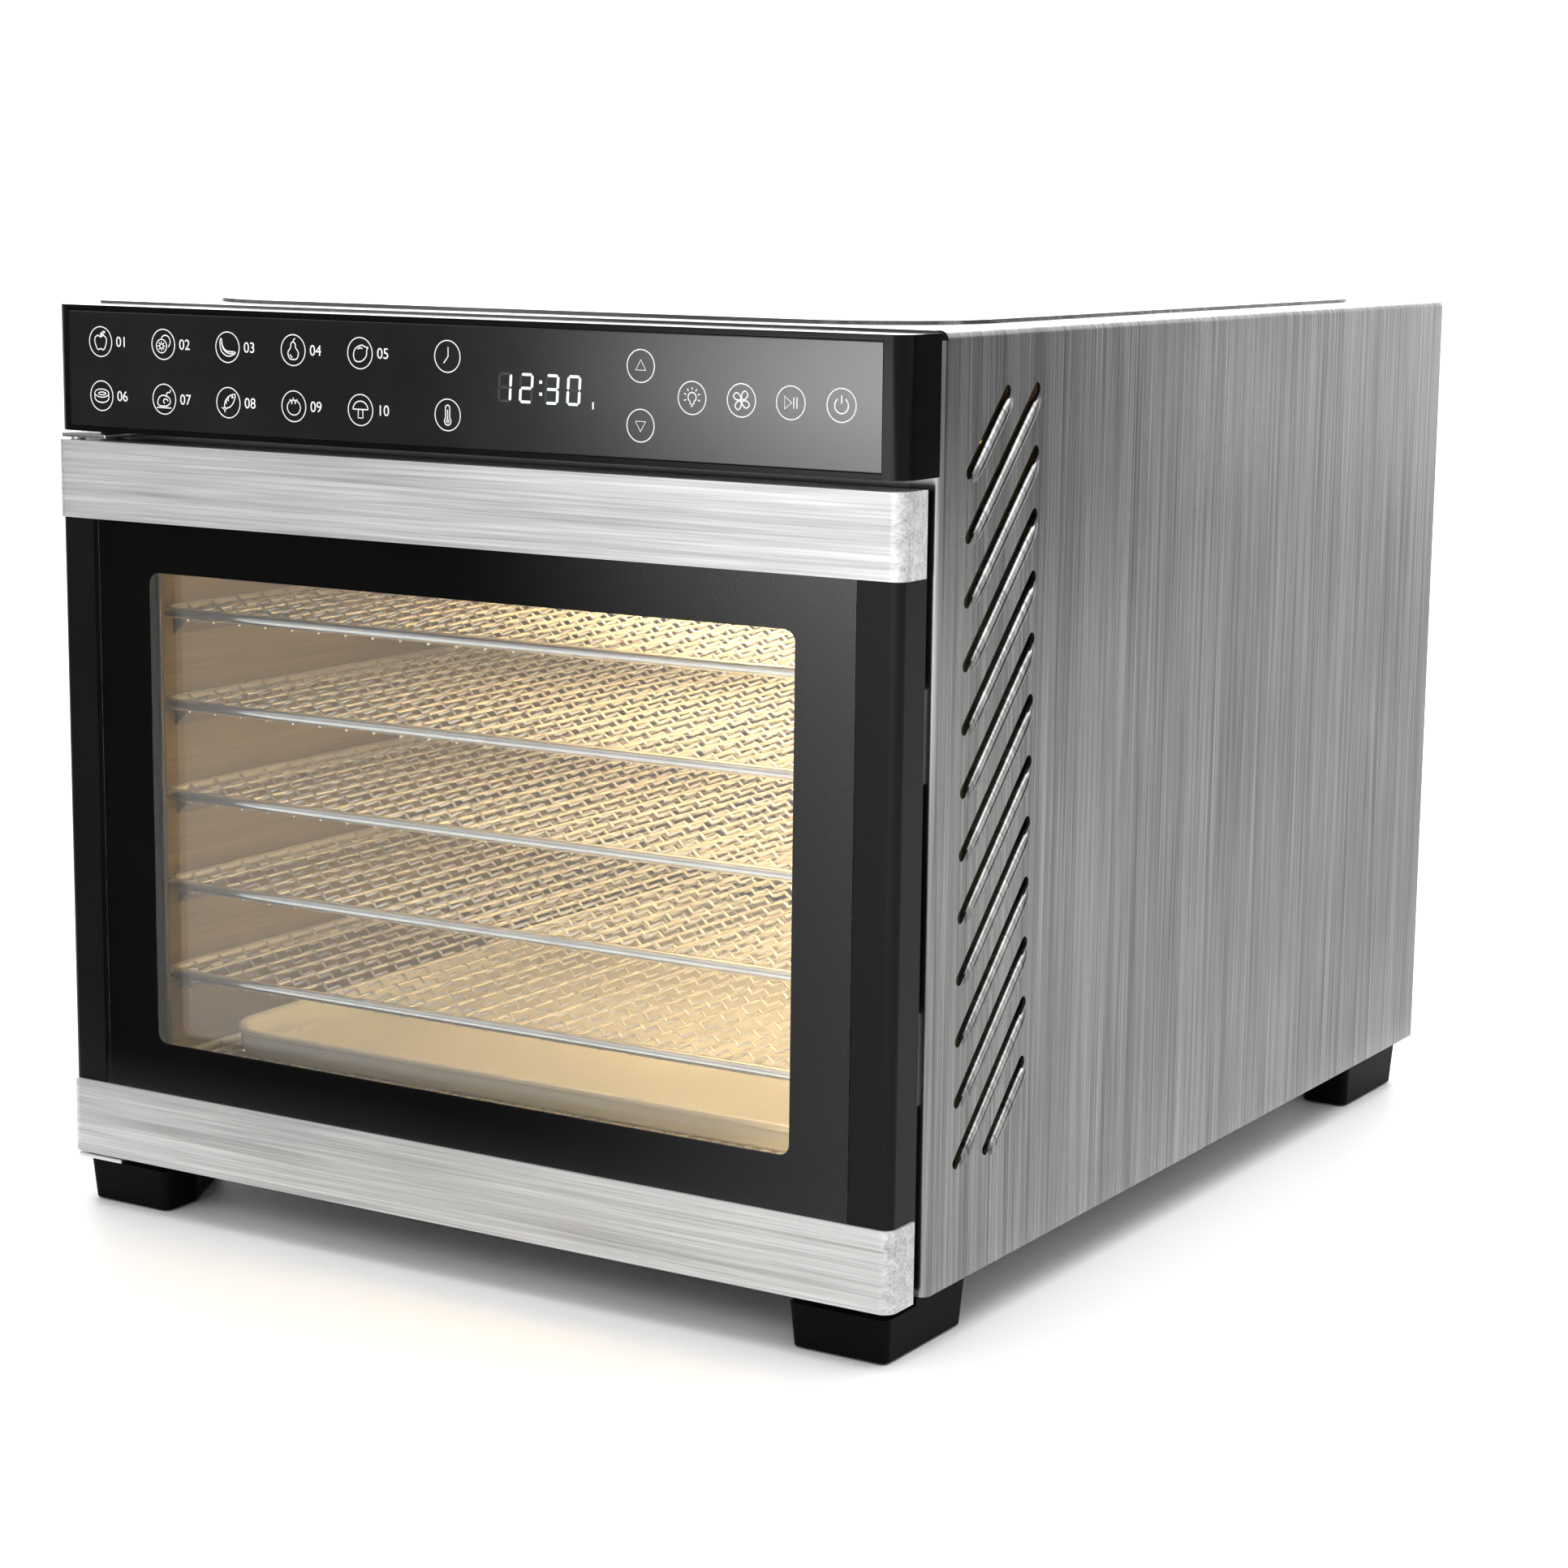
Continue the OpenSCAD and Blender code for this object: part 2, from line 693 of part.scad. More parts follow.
module motor_posts() color("silver") in_case() {
    for (side = [-1, 1])
        rod_y(side * (motor_w / 2 - 7), fan_z + motor_h / 2 - 7, post_r, rear_wall_y + sheet_t, motor_y);
}

module heater_element() color("darkred") in_case() {
    gap = 40;
    sleeve_r = heater_tube_r + 1;
    translate([0, heater_y, fan_z]) rotate([90, 0, 0]) rotate([0, 0, -90 + gap / 2])
        rotate_extrude(angle = 360 - gap) translate([heater_r, 0]) circle(heater_tube_r);
    for (side = [-1, 1])
        translate([side * heater_r * sin(gap / 2), 0, -heater_r * cos(gap / 2)])
            rod_y(0, fan_z, sleeve_r, heater_y - sleeve_r, rear_wall_y);
}

module heater_clips() color("silver") in_case() {
    for (a = [30, 150, 270]) translate([0, 0, fan_z]) rotate([0, a, 0])
        block([heater_r - 5, baffle_y + sheet_t, -3], [heater_r + 5, heater_y, 3]);
}

module thermostat() color("black") in_case() {
    rod_y(90, fan_z + 60, 9, rear_wall_y + sheet_t, rear_wall_y + sheet_t + 10);
}

module thermal_fuse() color("peru") in_case() {
    translate([50, rear_wall_y + sheet_t + 3, fan_z + 74])
        rotate([0, 90, 0]) cylinder(h = 16, r = 2.6, center = true);
    block([44, rear_wall_y + sheet_t, fan_z + 70], [56, rear_wall_y + sheet_t + 1.2, fan_z + 78]);
}

module temperature_probe() color("silver") in_case() {
    rod_y(probe_x, probe_z, probe_r, baffle_y - 14, baffle_y + sheet_t + 5);
}

// ---- Lamp ----

module lamp_holder() color("gray") in_case() {
    translate([lamp_x, lamp_y, mouth_top + sheet_t]) difference() {
        cylinder(h = 34, r = lamp_r + 3);
        translate([0, 0, -1]) cylinder(h = 33, r = lamp_r);
    }
}

module lamp_bulb() color("lightyellow") in_case() {
    translate([lamp_x, lamp_y, mouth_top + sheet_t]) {
        translate([0, 0, 12]) cylinder(h = 20, r = 6);
        translate([0, 0, 12]) sphere(8);
    }
}

module lamp_lens() color("white") in_case() {
    translate([lamp_x, lamp_y, mouth_top - 2]) cylinder(h = 2, r = lamp_r + 4);
}

// ---- Power and rear cover ----

module power_board() color("darkgreen") in_case() {
    y = case_end() - sheet_t - 8;
    block([board_x - 40, y, 60], [board_x + 40, y + 1.6, 170]);
    for (z = [78, 108, 138])
        block([board_x - 18, y - 14, z], [board_x + 14, y + eps, z + 18]);
    for (x = [board_x - 34, board_x + 34], z = [66, 164])
        rod_y(x, z, 3, y + 1.6 - eps, case_end() - sheet_t);
}

module mains_inlet() color("black") in_case() {
    y = case_end();
    difference() {
        union() {
            block([inlet_x - inlet_w / 2, y - inlet_d, inlet_z - inlet_h / 2],
                [inlet_x + inlet_w / 2, y + eps, inlet_z + inlet_h / 2]);
            along_y(y, y + inlet_flange) rounded([inlet_x - 24, inlet_z - inlet_h / 2 - 3],
                [inlet_x + 24, inlet_z + inlet_h / 2 + 3], 6);
        }
        block([inlet_x - inlet_w / 2 + 2, y - inlet_d + 3, inlet_z - inlet_h / 2 + 3],
            [inlet_x + inlet_w / 2 - 2, y + inlet_flange + 1, inlet_z + inlet_h / 2 - 3]);
    }
    for (p = [[-7, -2], [0, 2], [7, -2]])
        block([inlet_x + p[0] - 1, y - inlet_d + 3 - eps, inlet_z + p[1] - 2],
            [inlet_x + p[0] + 1, y - 5, inlet_z + p[1] + 2]);
}

module rear_cover() color("gainsboro") in_case() {
    flange_end = case_end() + sheet_t;
    back = case_end() + cover_d;
    difference() {
        union() {
            rod_y(0, fan_z, cover_r + cover_flange, case_end(), flange_end);
            rod_y(0, fan_z, cover_r, case_end(), back);
        }
        rod_y(0, fan_z, cover_r - sheet_t, case_end() - 1, back - sheet_t);
        for (i = [0 : 11]) translate([0, 0, fan_z]) rotate([0, i * 30, 0])
            along_y(back - 2 * sheet_t, back + 1) slot([30, 0], [cover_r - 16, 0], 6);
    }
}

module case_screws() color("silver") in_case() {
    edge_x = case_w / 2 - 10;
    for (x = [-edge_x, 0, edge_x], z = [12, case_h - 14])
        rod_y(x, z, 3.2, case_end(), case_end() + 1.8);
    for (x = [-edge_x, edge_x])
        rod_y(x, case_h / 2, 3.2, case_end(), case_end() + 1.8);
}

module cover_screws() color("silver") in_case() {
    r = cover_r + cover_flange - 5;
    for (a = [45 : 90 : 315])
        rod_y(r * cos(a), fan_z + r * sin(a), 3, case_end() + sheet_t, case_end() + sheet_t + 1.8);
}

// ---- Feet ----

// Puts a child on the base over each foot's screw
module foot_places() {
    for (side = [-1, 1]) {
        translate([side * (foot_x - foot_hole[0]), foot_y + foot_hole[1], 0]) children();
        translate([side * (foot_x - foot_hole[0]), rear_foot_y - foot_hole[1], 0]) children();
    }
}

// Plan of a foot with its outer front corner at the origin, running towards +x and +y
module foot_plan(r) {
    hull() for (p = [[r, r], [foot_w - r, r], [foot_w - r, foot_inner_d - r],
        [foot_w * 0.45, foot_d - r], [r, foot_d - r]])
        translate(p) circle(r, $fn = 32);
}

// A block tapered a little to the floor; front_drop is how far its front part stays below the case
module foot(front_drop) {
    taper = 0.94;
    difference() {
        hull() {
            translate([0, 0, -1 - eps]) linear_extrude(1) foot_plan(3);
            translate([foot_w * (1 - taper) / 2, foot_d * (1 - taper) / 2, foot_bottom])
                linear_extrude(1) scale([taper, taper]) foot_plan(3);
        }
        translate([-1, -1, -front_drop]) cube([foot_w + 2, case_y() + 2.5 - foot_y, front_drop + 1]);
        translate([foot_hole[0], foot_hole[1], -9]) cylinder(h = 10, r = foot_screw_r);
        translate([foot_hole[0], foot_hole[1] - 8, foot_bottom - 1])
            cylinder(h = pad_t - pad_proud + 1, r = pad_r + fit);
    }
}

module foot_front_right() color([0.03, 0.03, 0.03]) in_case() {
    translate([foot_x, foot_y, 0]) mirror([1, 0, 0]) foot(lip_gap);
}

module foot_front_left() color([0.03, 0.03, 0.03]) in_case() {
    translate([-foot_x, foot_y, 0]) foot(lip_gap);
}

module foot_rear_right() color([0.03, 0.03, 0.03]) in_case() {
    translate([foot_x, rear_foot_y, 0]) mirror([1, 0, 0]) mirror([0, 1, 0]) foot(0);
}

module foot_rear_left() color([0.03, 0.03, 0.03]) in_case() {
    translate([-foot_x, rear_foot_y, 0]) mirror([0, 1, 0]) foot(0);
}

module foot_pads() color("dimgray") in_case() {
    for (side = [-1, 1], y = [foot_y + foot_hole[1] - 8, rear_foot_y - foot_hole[1] + 8])
        translate([side * (foot_x - foot_hole[0]), y, -foot_h]) cylinder(h = pad_t, r = pad_r);
}

module foot_screws() color("silver") in_case() {
    foot_places() {
        translate([0, 0, -8]) cylinder(h = 8 + sheet_t + eps, r = foot_screw_r);
        translate([0, 0, sheet_t]) cylinder(h = 2, r = 4);
    }
}

outer_case();
base_pan();
back_panel();
front_frame();
chamber_wall_left();
chamber_wall_right();
chamber_roof();
chamber_floor();
air_baffle();
rear_wall();
fan_guard();
panel_housing();
panel_glass();
display_module();
control_board();
hinge_brackets();
hinge_pins();
strike_plates();
door_frame();
door_top_bar();
door_bottom_bar();
door_glass();
window_border();
inner_glass();
inner_frame();
door_gasket();
door_magnets();
rack_1();
rack_2();
rack_3();
rack_4();
rack_5();
rack_6();
rack_7();
mesh_sheet();
fruit_roll_tray();
fan_wheel();
fan_shaft();
fan_motor();
motor_posts();
heater_element();
heater_clips();
thermostat();
thermal_fuse();
temperature_probe();
lamp_holder();
lamp_bulb();
lamp_lens();
power_board();
mains_inlet();
rear_cover();
case_screws();
cover_screws();
foot_front_left();
foot_front_right();
foot_rear_left();
foot_rear_right();
foot_pads();
foot_screws();
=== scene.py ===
"""Finished looks of a cabinet food dehydrator, built over its fixed frame."""

import json
import math

import bmesh
import bpy
from bpy.props import (
    BoolProperty,
    FloatProperty,
    FloatVectorProperty,
    IntProperty,
    PointerProperty,
)
from mathutils import Matrix, Vector

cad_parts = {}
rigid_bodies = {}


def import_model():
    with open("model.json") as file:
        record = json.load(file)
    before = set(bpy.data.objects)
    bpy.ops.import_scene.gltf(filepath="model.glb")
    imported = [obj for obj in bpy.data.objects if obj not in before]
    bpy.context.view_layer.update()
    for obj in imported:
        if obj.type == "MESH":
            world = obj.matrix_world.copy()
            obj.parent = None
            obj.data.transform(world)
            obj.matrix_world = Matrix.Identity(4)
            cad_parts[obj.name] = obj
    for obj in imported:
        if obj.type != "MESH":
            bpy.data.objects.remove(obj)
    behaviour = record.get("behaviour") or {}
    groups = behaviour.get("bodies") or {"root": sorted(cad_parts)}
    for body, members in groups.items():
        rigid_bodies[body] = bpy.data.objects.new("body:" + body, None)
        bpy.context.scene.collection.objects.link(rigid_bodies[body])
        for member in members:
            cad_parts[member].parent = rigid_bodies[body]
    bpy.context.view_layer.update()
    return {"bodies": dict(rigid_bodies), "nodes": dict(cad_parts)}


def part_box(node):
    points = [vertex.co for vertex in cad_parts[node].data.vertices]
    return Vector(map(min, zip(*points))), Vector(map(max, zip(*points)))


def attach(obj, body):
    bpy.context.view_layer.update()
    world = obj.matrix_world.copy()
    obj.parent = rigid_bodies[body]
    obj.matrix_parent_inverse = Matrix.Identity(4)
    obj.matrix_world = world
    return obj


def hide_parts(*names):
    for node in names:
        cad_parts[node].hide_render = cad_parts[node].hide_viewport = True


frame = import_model()

bl_info = {
    "name": "Food dehydrator",
    "version": (1, 0, 0),
    "blender": (4, 5, 0),
    "location": "3D View > Sidebar > Dehydrator",
    "description": "Builds the finished looks of a cabinet food dehydrator over its fixed frame",
    "category": "Object",
}

MM = 0.001
RACKS = 7

# Places that every piece is set out from: the door's front face, the case's floor and its right side
DOOR_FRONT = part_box("door_top_bar")[0].y
CASE_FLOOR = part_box("base_pan")[0].z
SIDE_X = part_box("chamber_wall_right")[1].x + 0.018
CASE_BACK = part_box("back_panel")[1].y
PANEL_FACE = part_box("panel_glass")[0].y


def spot(x, depth, height):
    """A point, in millimetres from the centre, back from the door's face and up from the case's floor."""
    return Vector((x * MM, DOOR_FRONT + depth * MM, CASE_FLOOR + height * MM))


# ---- Settings ----


class DehydratorMetals(bpy.types.PropertyGroup):
    """Sheet metal of the case, the door and the drying chamber."""

    case_tone: FloatVectorProperty(
        name="Case steel", description="Colour of the brushed case", default=(0.29, 0.29, 0.287),
        subtype="COLOR", size=3
    )
    door_tone: FloatVectorProperty(
        name="Door steel", description="Colour of the door's brushed bars", default=(0.62, 0.62, 0.615),
        subtype="COLOR", size=3
    )
    # The chamber's steel colour is dark and warm on purpose. It is painted shade of the closed chamber and
    # painted warm lamp light, not the steel's own colour.
    chamber_painted_shade_tone: FloatVectorProperty(
        name="Chamber steel with painted shade", description="Colour of the drying chamber's sheet", default=(0.21, 0.17, 0.1),
        subtype="COLOR", size=3
    )
    grain_lines: FloatProperty(
        name="Grain lines", description="Brushed lines in a metre across the grain", default=900.0, min=100.0
    )
    grain_depth: FloatProperty(
        name="Grain depth", description="How deep the brushing looks", default=0.00004, unit="LENGTH"
    )


class DehydratorRacks(bpy.types.PropertyGroup):
    """The sliding wire racks."""

    mesh_wire: FloatProperty(
        name="Mesh wire", description="Radius of the mesh's wire", default=0.0006, unit="LENGTH"
    )
    crimped_wires: IntProperty(
        name="Crimped wires", description="Crimped wires from front to back", default=23, min=2
    )
    straight_wires: IntProperty(
        name="Straight wires", description="Straight wires from side to side", default=24, min=2
    )
    crimp_pitch: FloatProperty(
        name="Crimp pitch", description="Length of one wave of a crimped wire", default=0.0074, unit="LENGTH"
    )
    crimp_height: FloatProperty(
        name="Crimp height", description="Rise of a crimped wire from its middle", default=0.0009,
        unit="LENGTH"
    )
    second_rail: FloatProperty(
        name="Second rail", description="Radius of the thin rail inside the frame wire", default=0.0013,
        unit="LENGTH"
    )


class DehydratorPanel(bpy.types.PropertyGroup):
    """Marks and digits on the touch panel."""

    ring: FloatProperty(
        name="Key ring", description="Radius of the ring round a key", default=0.0051, unit="LENGTH"
    )
    line: FloatProperty(name="Line", description="Radius of a printed line", default=0.00026, unit="LENGTH")
    ink: FloatVectorProperty(
        name="Ink", description="Colour of the printed marks", default=(0.9, 0.91, 0.92), subtype="COLOR",
        size=3
    )
    digit_light: FloatVectorProperty(
        name="Digit light", description="Colour of a lit segment", default=(0.86, 0.97, 1.0), subtype="COLOR",
        size=3
    )
    digit_glow: FloatProperty(
        name="Digit glow", description="Strength of a lit segment", default=1.3, min=0.0
    )


class DehydratorLamp(bpy.types.PropertyGroup):
    """Light inside the drying chamber."""

    tint: FloatVectorProperty(
        name="Lamp tint", description="Colour of the lamp's light", default=(1.0, 0.68, 0.3), subtype="COLOR",
        size=3
    )
    power: FloatProperty(name="Lamp power", description="Power of the lamp", default=2.3, unit="POWER")
    spread: FloatProperty(
        name="Chamber glow", description="Power of the light that the chamber's walls throw back",
        default=1.9, unit="POWER"
    )
    lit: BoolProperty(name="Lit", description="The lamp is on", default=True)


class DehydratorStage(bpy.types.PropertyGroup):
    """Floor, lights and camera."""

    floor: FloatVectorProperty(
        name="Floor", description="Colour of the floor", default=(0.88, 0.88, 0.88), subtype="COLOR", size=3
    )
    overhead: FloatProperty(
        name="Overhead light", description="Power of the large light above", default=78.0, unit="POWER"
    )
    side: FloatProperty(
        name="Side light", description="Power of the light at the right", default=5.0, unit="POWER"
    )
    front: FloatProperty(
        name="Front light", description="Power of the light in front", default=13.0, unit="POWER"
    )
    sky: FloatProperty(
        name="Room light", description="Strength of the even light all round", default=0.42, min=0.0
    )
    backdrop: FloatProperty(
        name="Backdrop light", description="Power of the light on the backdrop", default=120.0, unit="POWER"
    )


# ---- Small helpers ----


class Sheet:
    """Adds nodes to a tree and joins their sockets."""

    def __init__(self, tree):
        self.tree = tree

    def add(self, kind, **values):
        node = self.tree.nodes.new(kind)
        for name, value in values.items():
            setattr(node, name, value)
        return node

    def join(self, start, end):
        self.tree.links.new(start, end)

def mesh_object(name, points, faces, material, edges=()):
    """An object at the origin made from points and faces."""
    mesh = bpy.data.meshes.new(name)
    mesh.from_pydata([tuple(p) for p in points], list(edges), faces)
    mesh.update()
    thing = bpy.data.objects.new(name, mesh)
    bpy.context.scene.collection.objects.link(thing)
    if material is not None:
        mesh.materials.append(material)
    return thing


def settled(thing):
    """Applies an object's modifiers, so that a plain mesh is left."""
    graph = bpy.context.evaluated_depsgraph_get()
    mesh = bpy.data.meshes.new_from_object(
        thing.evaluated_get(graph), preserve_all_data_layers=True, depsgraph=graph
    )
    thing.modifiers.clear()
    thing.data = mesh
    return thing


def grown(name, points, edges, tree, material, **values):
    """Runs a geometry tree over points and edges, and leaves a plain mesh."""
    thing = mesh_object(name, points, [], None, edges)
    step = thing.modifiers.new("Grow", "NODES")
    step.node_group = tree
    sockets = {
        s.name: s.identifier
        for s in tree.interface.items_tree if s.item_type == "SOCKET" and s.in_out == "INPUT"
    }
    for label, value in values.items():
        step[sockets[label.replace("_", " ")]] = value
    step[sockets["Material"]] = material
    settled(thing)
    if not thing.data.polygons:
        raise RuntimeError(f"{name} came out empty")
    return thing


def body_of(node):
    """The moving body that a frame node belongs to."""
    parent = frame["nodes"][node].parent
    return next(name for name, empty in frame["bodies"].items() if empty is parent)


def home(thing, body, nodes=()):
    """Sets a finished piece on its body, in place of the frame nodes it stands for."""
    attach(thing, body)
    if nodes:
        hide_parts(*nodes)
    return thing


def refined(node, finish, width=0.0, steps=2, corner=32.0, side=None):
    """A merged copy of a frame node with its hard edges rounded over, which stands for the node.

    What stands proud of a given side is pressed flat.
    """
    work = bmesh.new()
    work.from_mesh(frame["nodes"][node].data)
    bmesh.ops.remove_doubles(work, verts=work.verts, dist=2e-6)
    if side:
        for vert in work.verts:
            vert.co.x = max(-side, min(side, vert.co.x))
        bmesh.ops.dissolve_degenerate(work, dist=1e-6, edges=work.edges)
    if width:
        bmesh.ops.join_triangles(
            work, faces=work.faces, angle_face_threshold=math.radians(0.5),
            angle_shape_threshold=math.radians(60)
        )
    work.verts.ensure_lookup_table()
    points = [v.co.copy() for v in work.verts]
    faces = [[v.index for v in f.verts] for f in work.faces]
    work.free()
    thing = mesh_object(node + "_finish", points, faces, Finishes.get(finish))
    thing.data.shade_smooth()
    thing.data.set_sharp_from_angle(angle=math.radians(corner))
    if width:
        bevel = thing.modifiers.new("Round", "BEVEL")
        bevel.width = width
        bevel.segments = steps
        bevel.limit_method = "ANGLE"
        bevel.angle_limit = math.radians(corner)
        bevel.use_clamp_overlap = True
        bevel.miter_outer = "MITER_ARC"
        settled(thing)
        thing.data.shade_smooth()
        thing.data.set_sharp_from_angle(angle=math.radians(50))
    weigh = thing.modifiers.new("Weigh", "WEIGHTED_NORMAL")
    weigh.keep_sharp = True
    settled(thing)
    return home(thing, body_of(node), [node])


# ---- Shared effects ----


def effect(name, inputs, outputs):
    """A new shader group with named float or vector inputs and outputs, and a helper to fill it."""
    group = bpy.data.node_groups.new(name, "ShaderNodeTree")
    for label, value in inputs.items():
        kind = "NodeSocketVector" if isinstance(value, tuple) else "NodeSocketFloat"
        group.interface.new_socket(name=label, in_out="INPUT", socket_type=kind).default_value = value
    for label in outputs:
        group.interface.new_socket(name=label, in_out="OUTPUT", socket_type="NodeSocketFloat")
    sheet = Sheet(group)
    return group, sheet, sheet.add("NodeGroupInput"), sheet.add("NodeGroupOutput")


def maths(sheet, kind, first, second=None, clamp=False):
    """A maths node whose two values are sockets or numbers."""
    node = sheet.add("ShaderNodeMath", operation=kind, use_clamp=clamp)
    for place, value in enumerate((first, second)):
        if value is None:
            continue
        if isinstance(value, (int, float)):
            node.inputs[place].default_value = value
        else:
            sheet.join(value, node.inputs[place])
    return node.outputs[0]


def plus(sheet, first, second, clamp=False):
    """The sum of two sockets or numbers."""
    return maths(sheet, "ADD", first, second, clamp)


def minus(sheet, first, second):
    """The first socket or number less the second."""
    return maths(sheet, "SUBTRACT", first, second)


def times(sheet, first, second, clamp=False):
    """The product of two sockets or numbers."""
    return maths(sheet, "MULTIPLY", first, second, clamp)


def over(sheet, first, second):
    """The first socket or number divided by the second."""
    return maths(sheet, "DIVIDE", first, second)


def mapped(sheet, value, low, high, first, last, curve="LINEAR"):
    """A number that runs from first to last as a value goes from low to high."""
    node = sheet.add("ShaderNodeMapRange", interpolation_type=curve)
    for label, number in zip(("From Min", "From Max", "To Min", "To Max"), (low, high, first, last)):
        node.inputs[label].default_value = number
    sheet.join(value, node.inputs["Value"])
    return node.outputs["Result"]


def noise(sheet, vector, scale, detail=3.0, rough=0.55):
    """A noise texture's value over a vector."""
    node = sheet.add("ShaderNodeTexNoise")
    sheet.join(vector, node.inputs["Vector"])
    if isinstance(scale, (int, float)):
        node.inputs["Scale"].default_value = scale
    else:
        sheet.join(scale, node.inputs["Scale"])
    node.inputs["Detail"].default_value = detail
    node.inputs["Roughness"].default_value = rough
    return node.outputs["Fac"]


def brushing_effect():
    """Long fine lines of brushed sheet, in two sizes, with slow patches between them."""
    group, sheet, start, end = effect(
        "Brushed lines", {"Stretch": (1.0, 1.0, 1.0), "Lines": 900.0}, ("Tone", "Rough", "Height")
    )
    place = sheet.add("ShaderNodeTexCoord").outputs["Object"]
    across = sheet.add("ShaderNodeVectorMath", operation="MULTIPLY")
    sheet.join(place, across.inputs[0])
    sheet.join(start.outputs["Stretch"], across.inputs[1])
    fine = noise(sheet, across.outputs[0], start.outputs["Lines"], 2.0, 0.6)
    broad = noise(sheet, across.outputs[0], times(sheet, start.outputs["Lines"], 0.23), 3.0, 0.7)
    patch = noise(sheet, place, 9.0, 2.0)
    both = plus(sheet, times(sheet, fine, 0.5), times(sheet, broad, 0.5))
    sheet.join(both, end.inputs["Height"])
    mixed = plus(sheet, times(sheet, both, 0.85), times(sheet, patch, 0.15))
    spread = times(sheet, minus(sheet, mixed, 0.5), 3.2)
    sheet.join(plus(sheet, spread, 0.5, clamp=True), end.inputs["Tone"])
    sheet.join(plus(sheet, times(sheet, broad, 0.6), times(sheet, patch, 0.4)), end.inputs["Rough"])
    return group


def smudge_effect():
    """Soft uneven patches left by hands and wiping."""
    group, sheet, start, end = effect("Hand smudges", {"Size": 22.0}, ("Mask", "Fine"))
    place = sheet.add("ShaderNodeTexCoord").outputs["Object"]
    broad = noise(sheet, place, start.outputs["Size"], 4.0, 0.6)
    fine = noise(sheet, place, times(sheet, start.outputs["Size"], 30.0), 2.0, 0.5)
    lift = times(sheet, minus(sheet, broad, 0.45), 3.0, clamp=True)
    sheet.join(lift, end.inputs["Mask"])
    sheet.join(fine, end.inputs["Fine"])
    return group


def moulding_effect():
    """Fine spark-eroded texture of moulded plastic or rubber."""
    group, sheet, start, end = effect("Moulded texture", {"Grain": 1400.0}, ("Height", "Shade"))
    place = sheet.add("ShaderNodeTexCoord").outputs["Object"]
    cells = sheet.add("ShaderNodeTexVoronoi")
    sheet.join(place, cells.inputs["Vector"])
    sheet.join(start.outputs["Grain"], cells.inputs["Scale"])
    slow = noise(sheet, place, 14.0, 3.0)
    speck = noise(sheet, place, start.outputs["Grain"], 2.0)
    sheet.join(
        plus(sheet, times(sheet, cells.outputs["Distance"], 0.5), times(sheet, speck, 0.5)),
        end.inputs["Height"]
    )
    sheet.join(slow, end.inputs["Shade"])
    return group


def dust_effect():
    """Light dust that settles where a surface faces up."""
    group, sheet, start, end = effect("Settled dust", {"Amount": 0.3}, ("Mask",))
    place = sheet.add("ShaderNodeTexCoord").outputs["Object"]
    parts = sheet.add("ShaderNodeSeparateXYZ")
    sheet.join(sheet.add("ShaderNodeNewGeometry").outputs["Normal"], parts.inputs[0])
    upward = times(sheet, minus(sheet, parts.outputs["Z"], 0.5), 2.0, clamp=True)
    speckle = times(sheet, minus(sheet, noise(sheet, place, 160.0, 4.0, 0.7), 0.4), 2.5, clamp=True)
    sheet.join(
        times(sheet, times(sheet, upward, speckle), start.outputs["Amount"], clamp=True), end.inputs["Mask"]
    )
    return group


class Effects:
    """The shared shader groups, made once."""

    made = {}

    @classmethod
    def get(cls, name):
        makers = {
            "brush": brushing_effect, "smudge": smudge_effect, "mould": moulding_effect, "dust": dust_effect
        }
        if name not in cls.made:
            cls.made[name] = makers[name]()
        return cls.made[name]


# ---- Materials ----


def paint(name):
    """A new material with its shader: the sheet, the shader node and the output node."""
    material = bpy.data.materials.new(name)
    material.use_nodes = True
    material.node_tree.nodes.clear()
    sheet = Sheet(material.node_tree)
    shader = sheet.add("ShaderNodeBsdfPrincipled")
    output = sheet.add("ShaderNodeOutputMaterial")
    sheet.join(shader.outputs[0], output.inputs["Surface"])
    return material, sheet, shader, output


def use(sheet, effect_name, **values):
    """Places a shared effect in a material with its own values."""
    node = sheet.add("ShaderNodeGroup", node_tree=Effects.get(effect_name))
    for label, value in values.items():
        node.inputs[label].default_value = value
    return node


def between(sheet, mask, low, high):
    """A number that runs from low to high as a mask goes from 0 to 1."""
    return mapped(sheet, mask, 0.0, 1.0, low, high)


def tint(sheet, mask, first, second):
    """A colour that runs from the first to the second with a mask; either may be a socket."""
    node = sheet.add("ShaderNodeMix", data_type="RGBA")
    sheet.join(mask, node.inputs["Factor"])
    for place, value in ((6, first), (7, second)):
        if isinstance(value, tuple):
            node.inputs[place].default_value = (*value[:3], 1.0)
        else:
            sheet.join(value, node.inputs[place])
    return node.outputs[2]


def relief(sheet, height, depth, shader):
    """Bump of a real depth in metres."""
    node = sheet.add("ShaderNodeBump")
    node.inputs["Distance"].default_value = depth
    node.inputs["Strength"].default_value = 1.0
    sheet.join(height, node.inputs["Height"])
    sheet.join(node.outputs[0], shader.inputs["Normal"])


def shade(tone, factor):
    """A colour made darker or lighter."""
    return tuple(min(1.0, c * factor) for c in tone[:3])


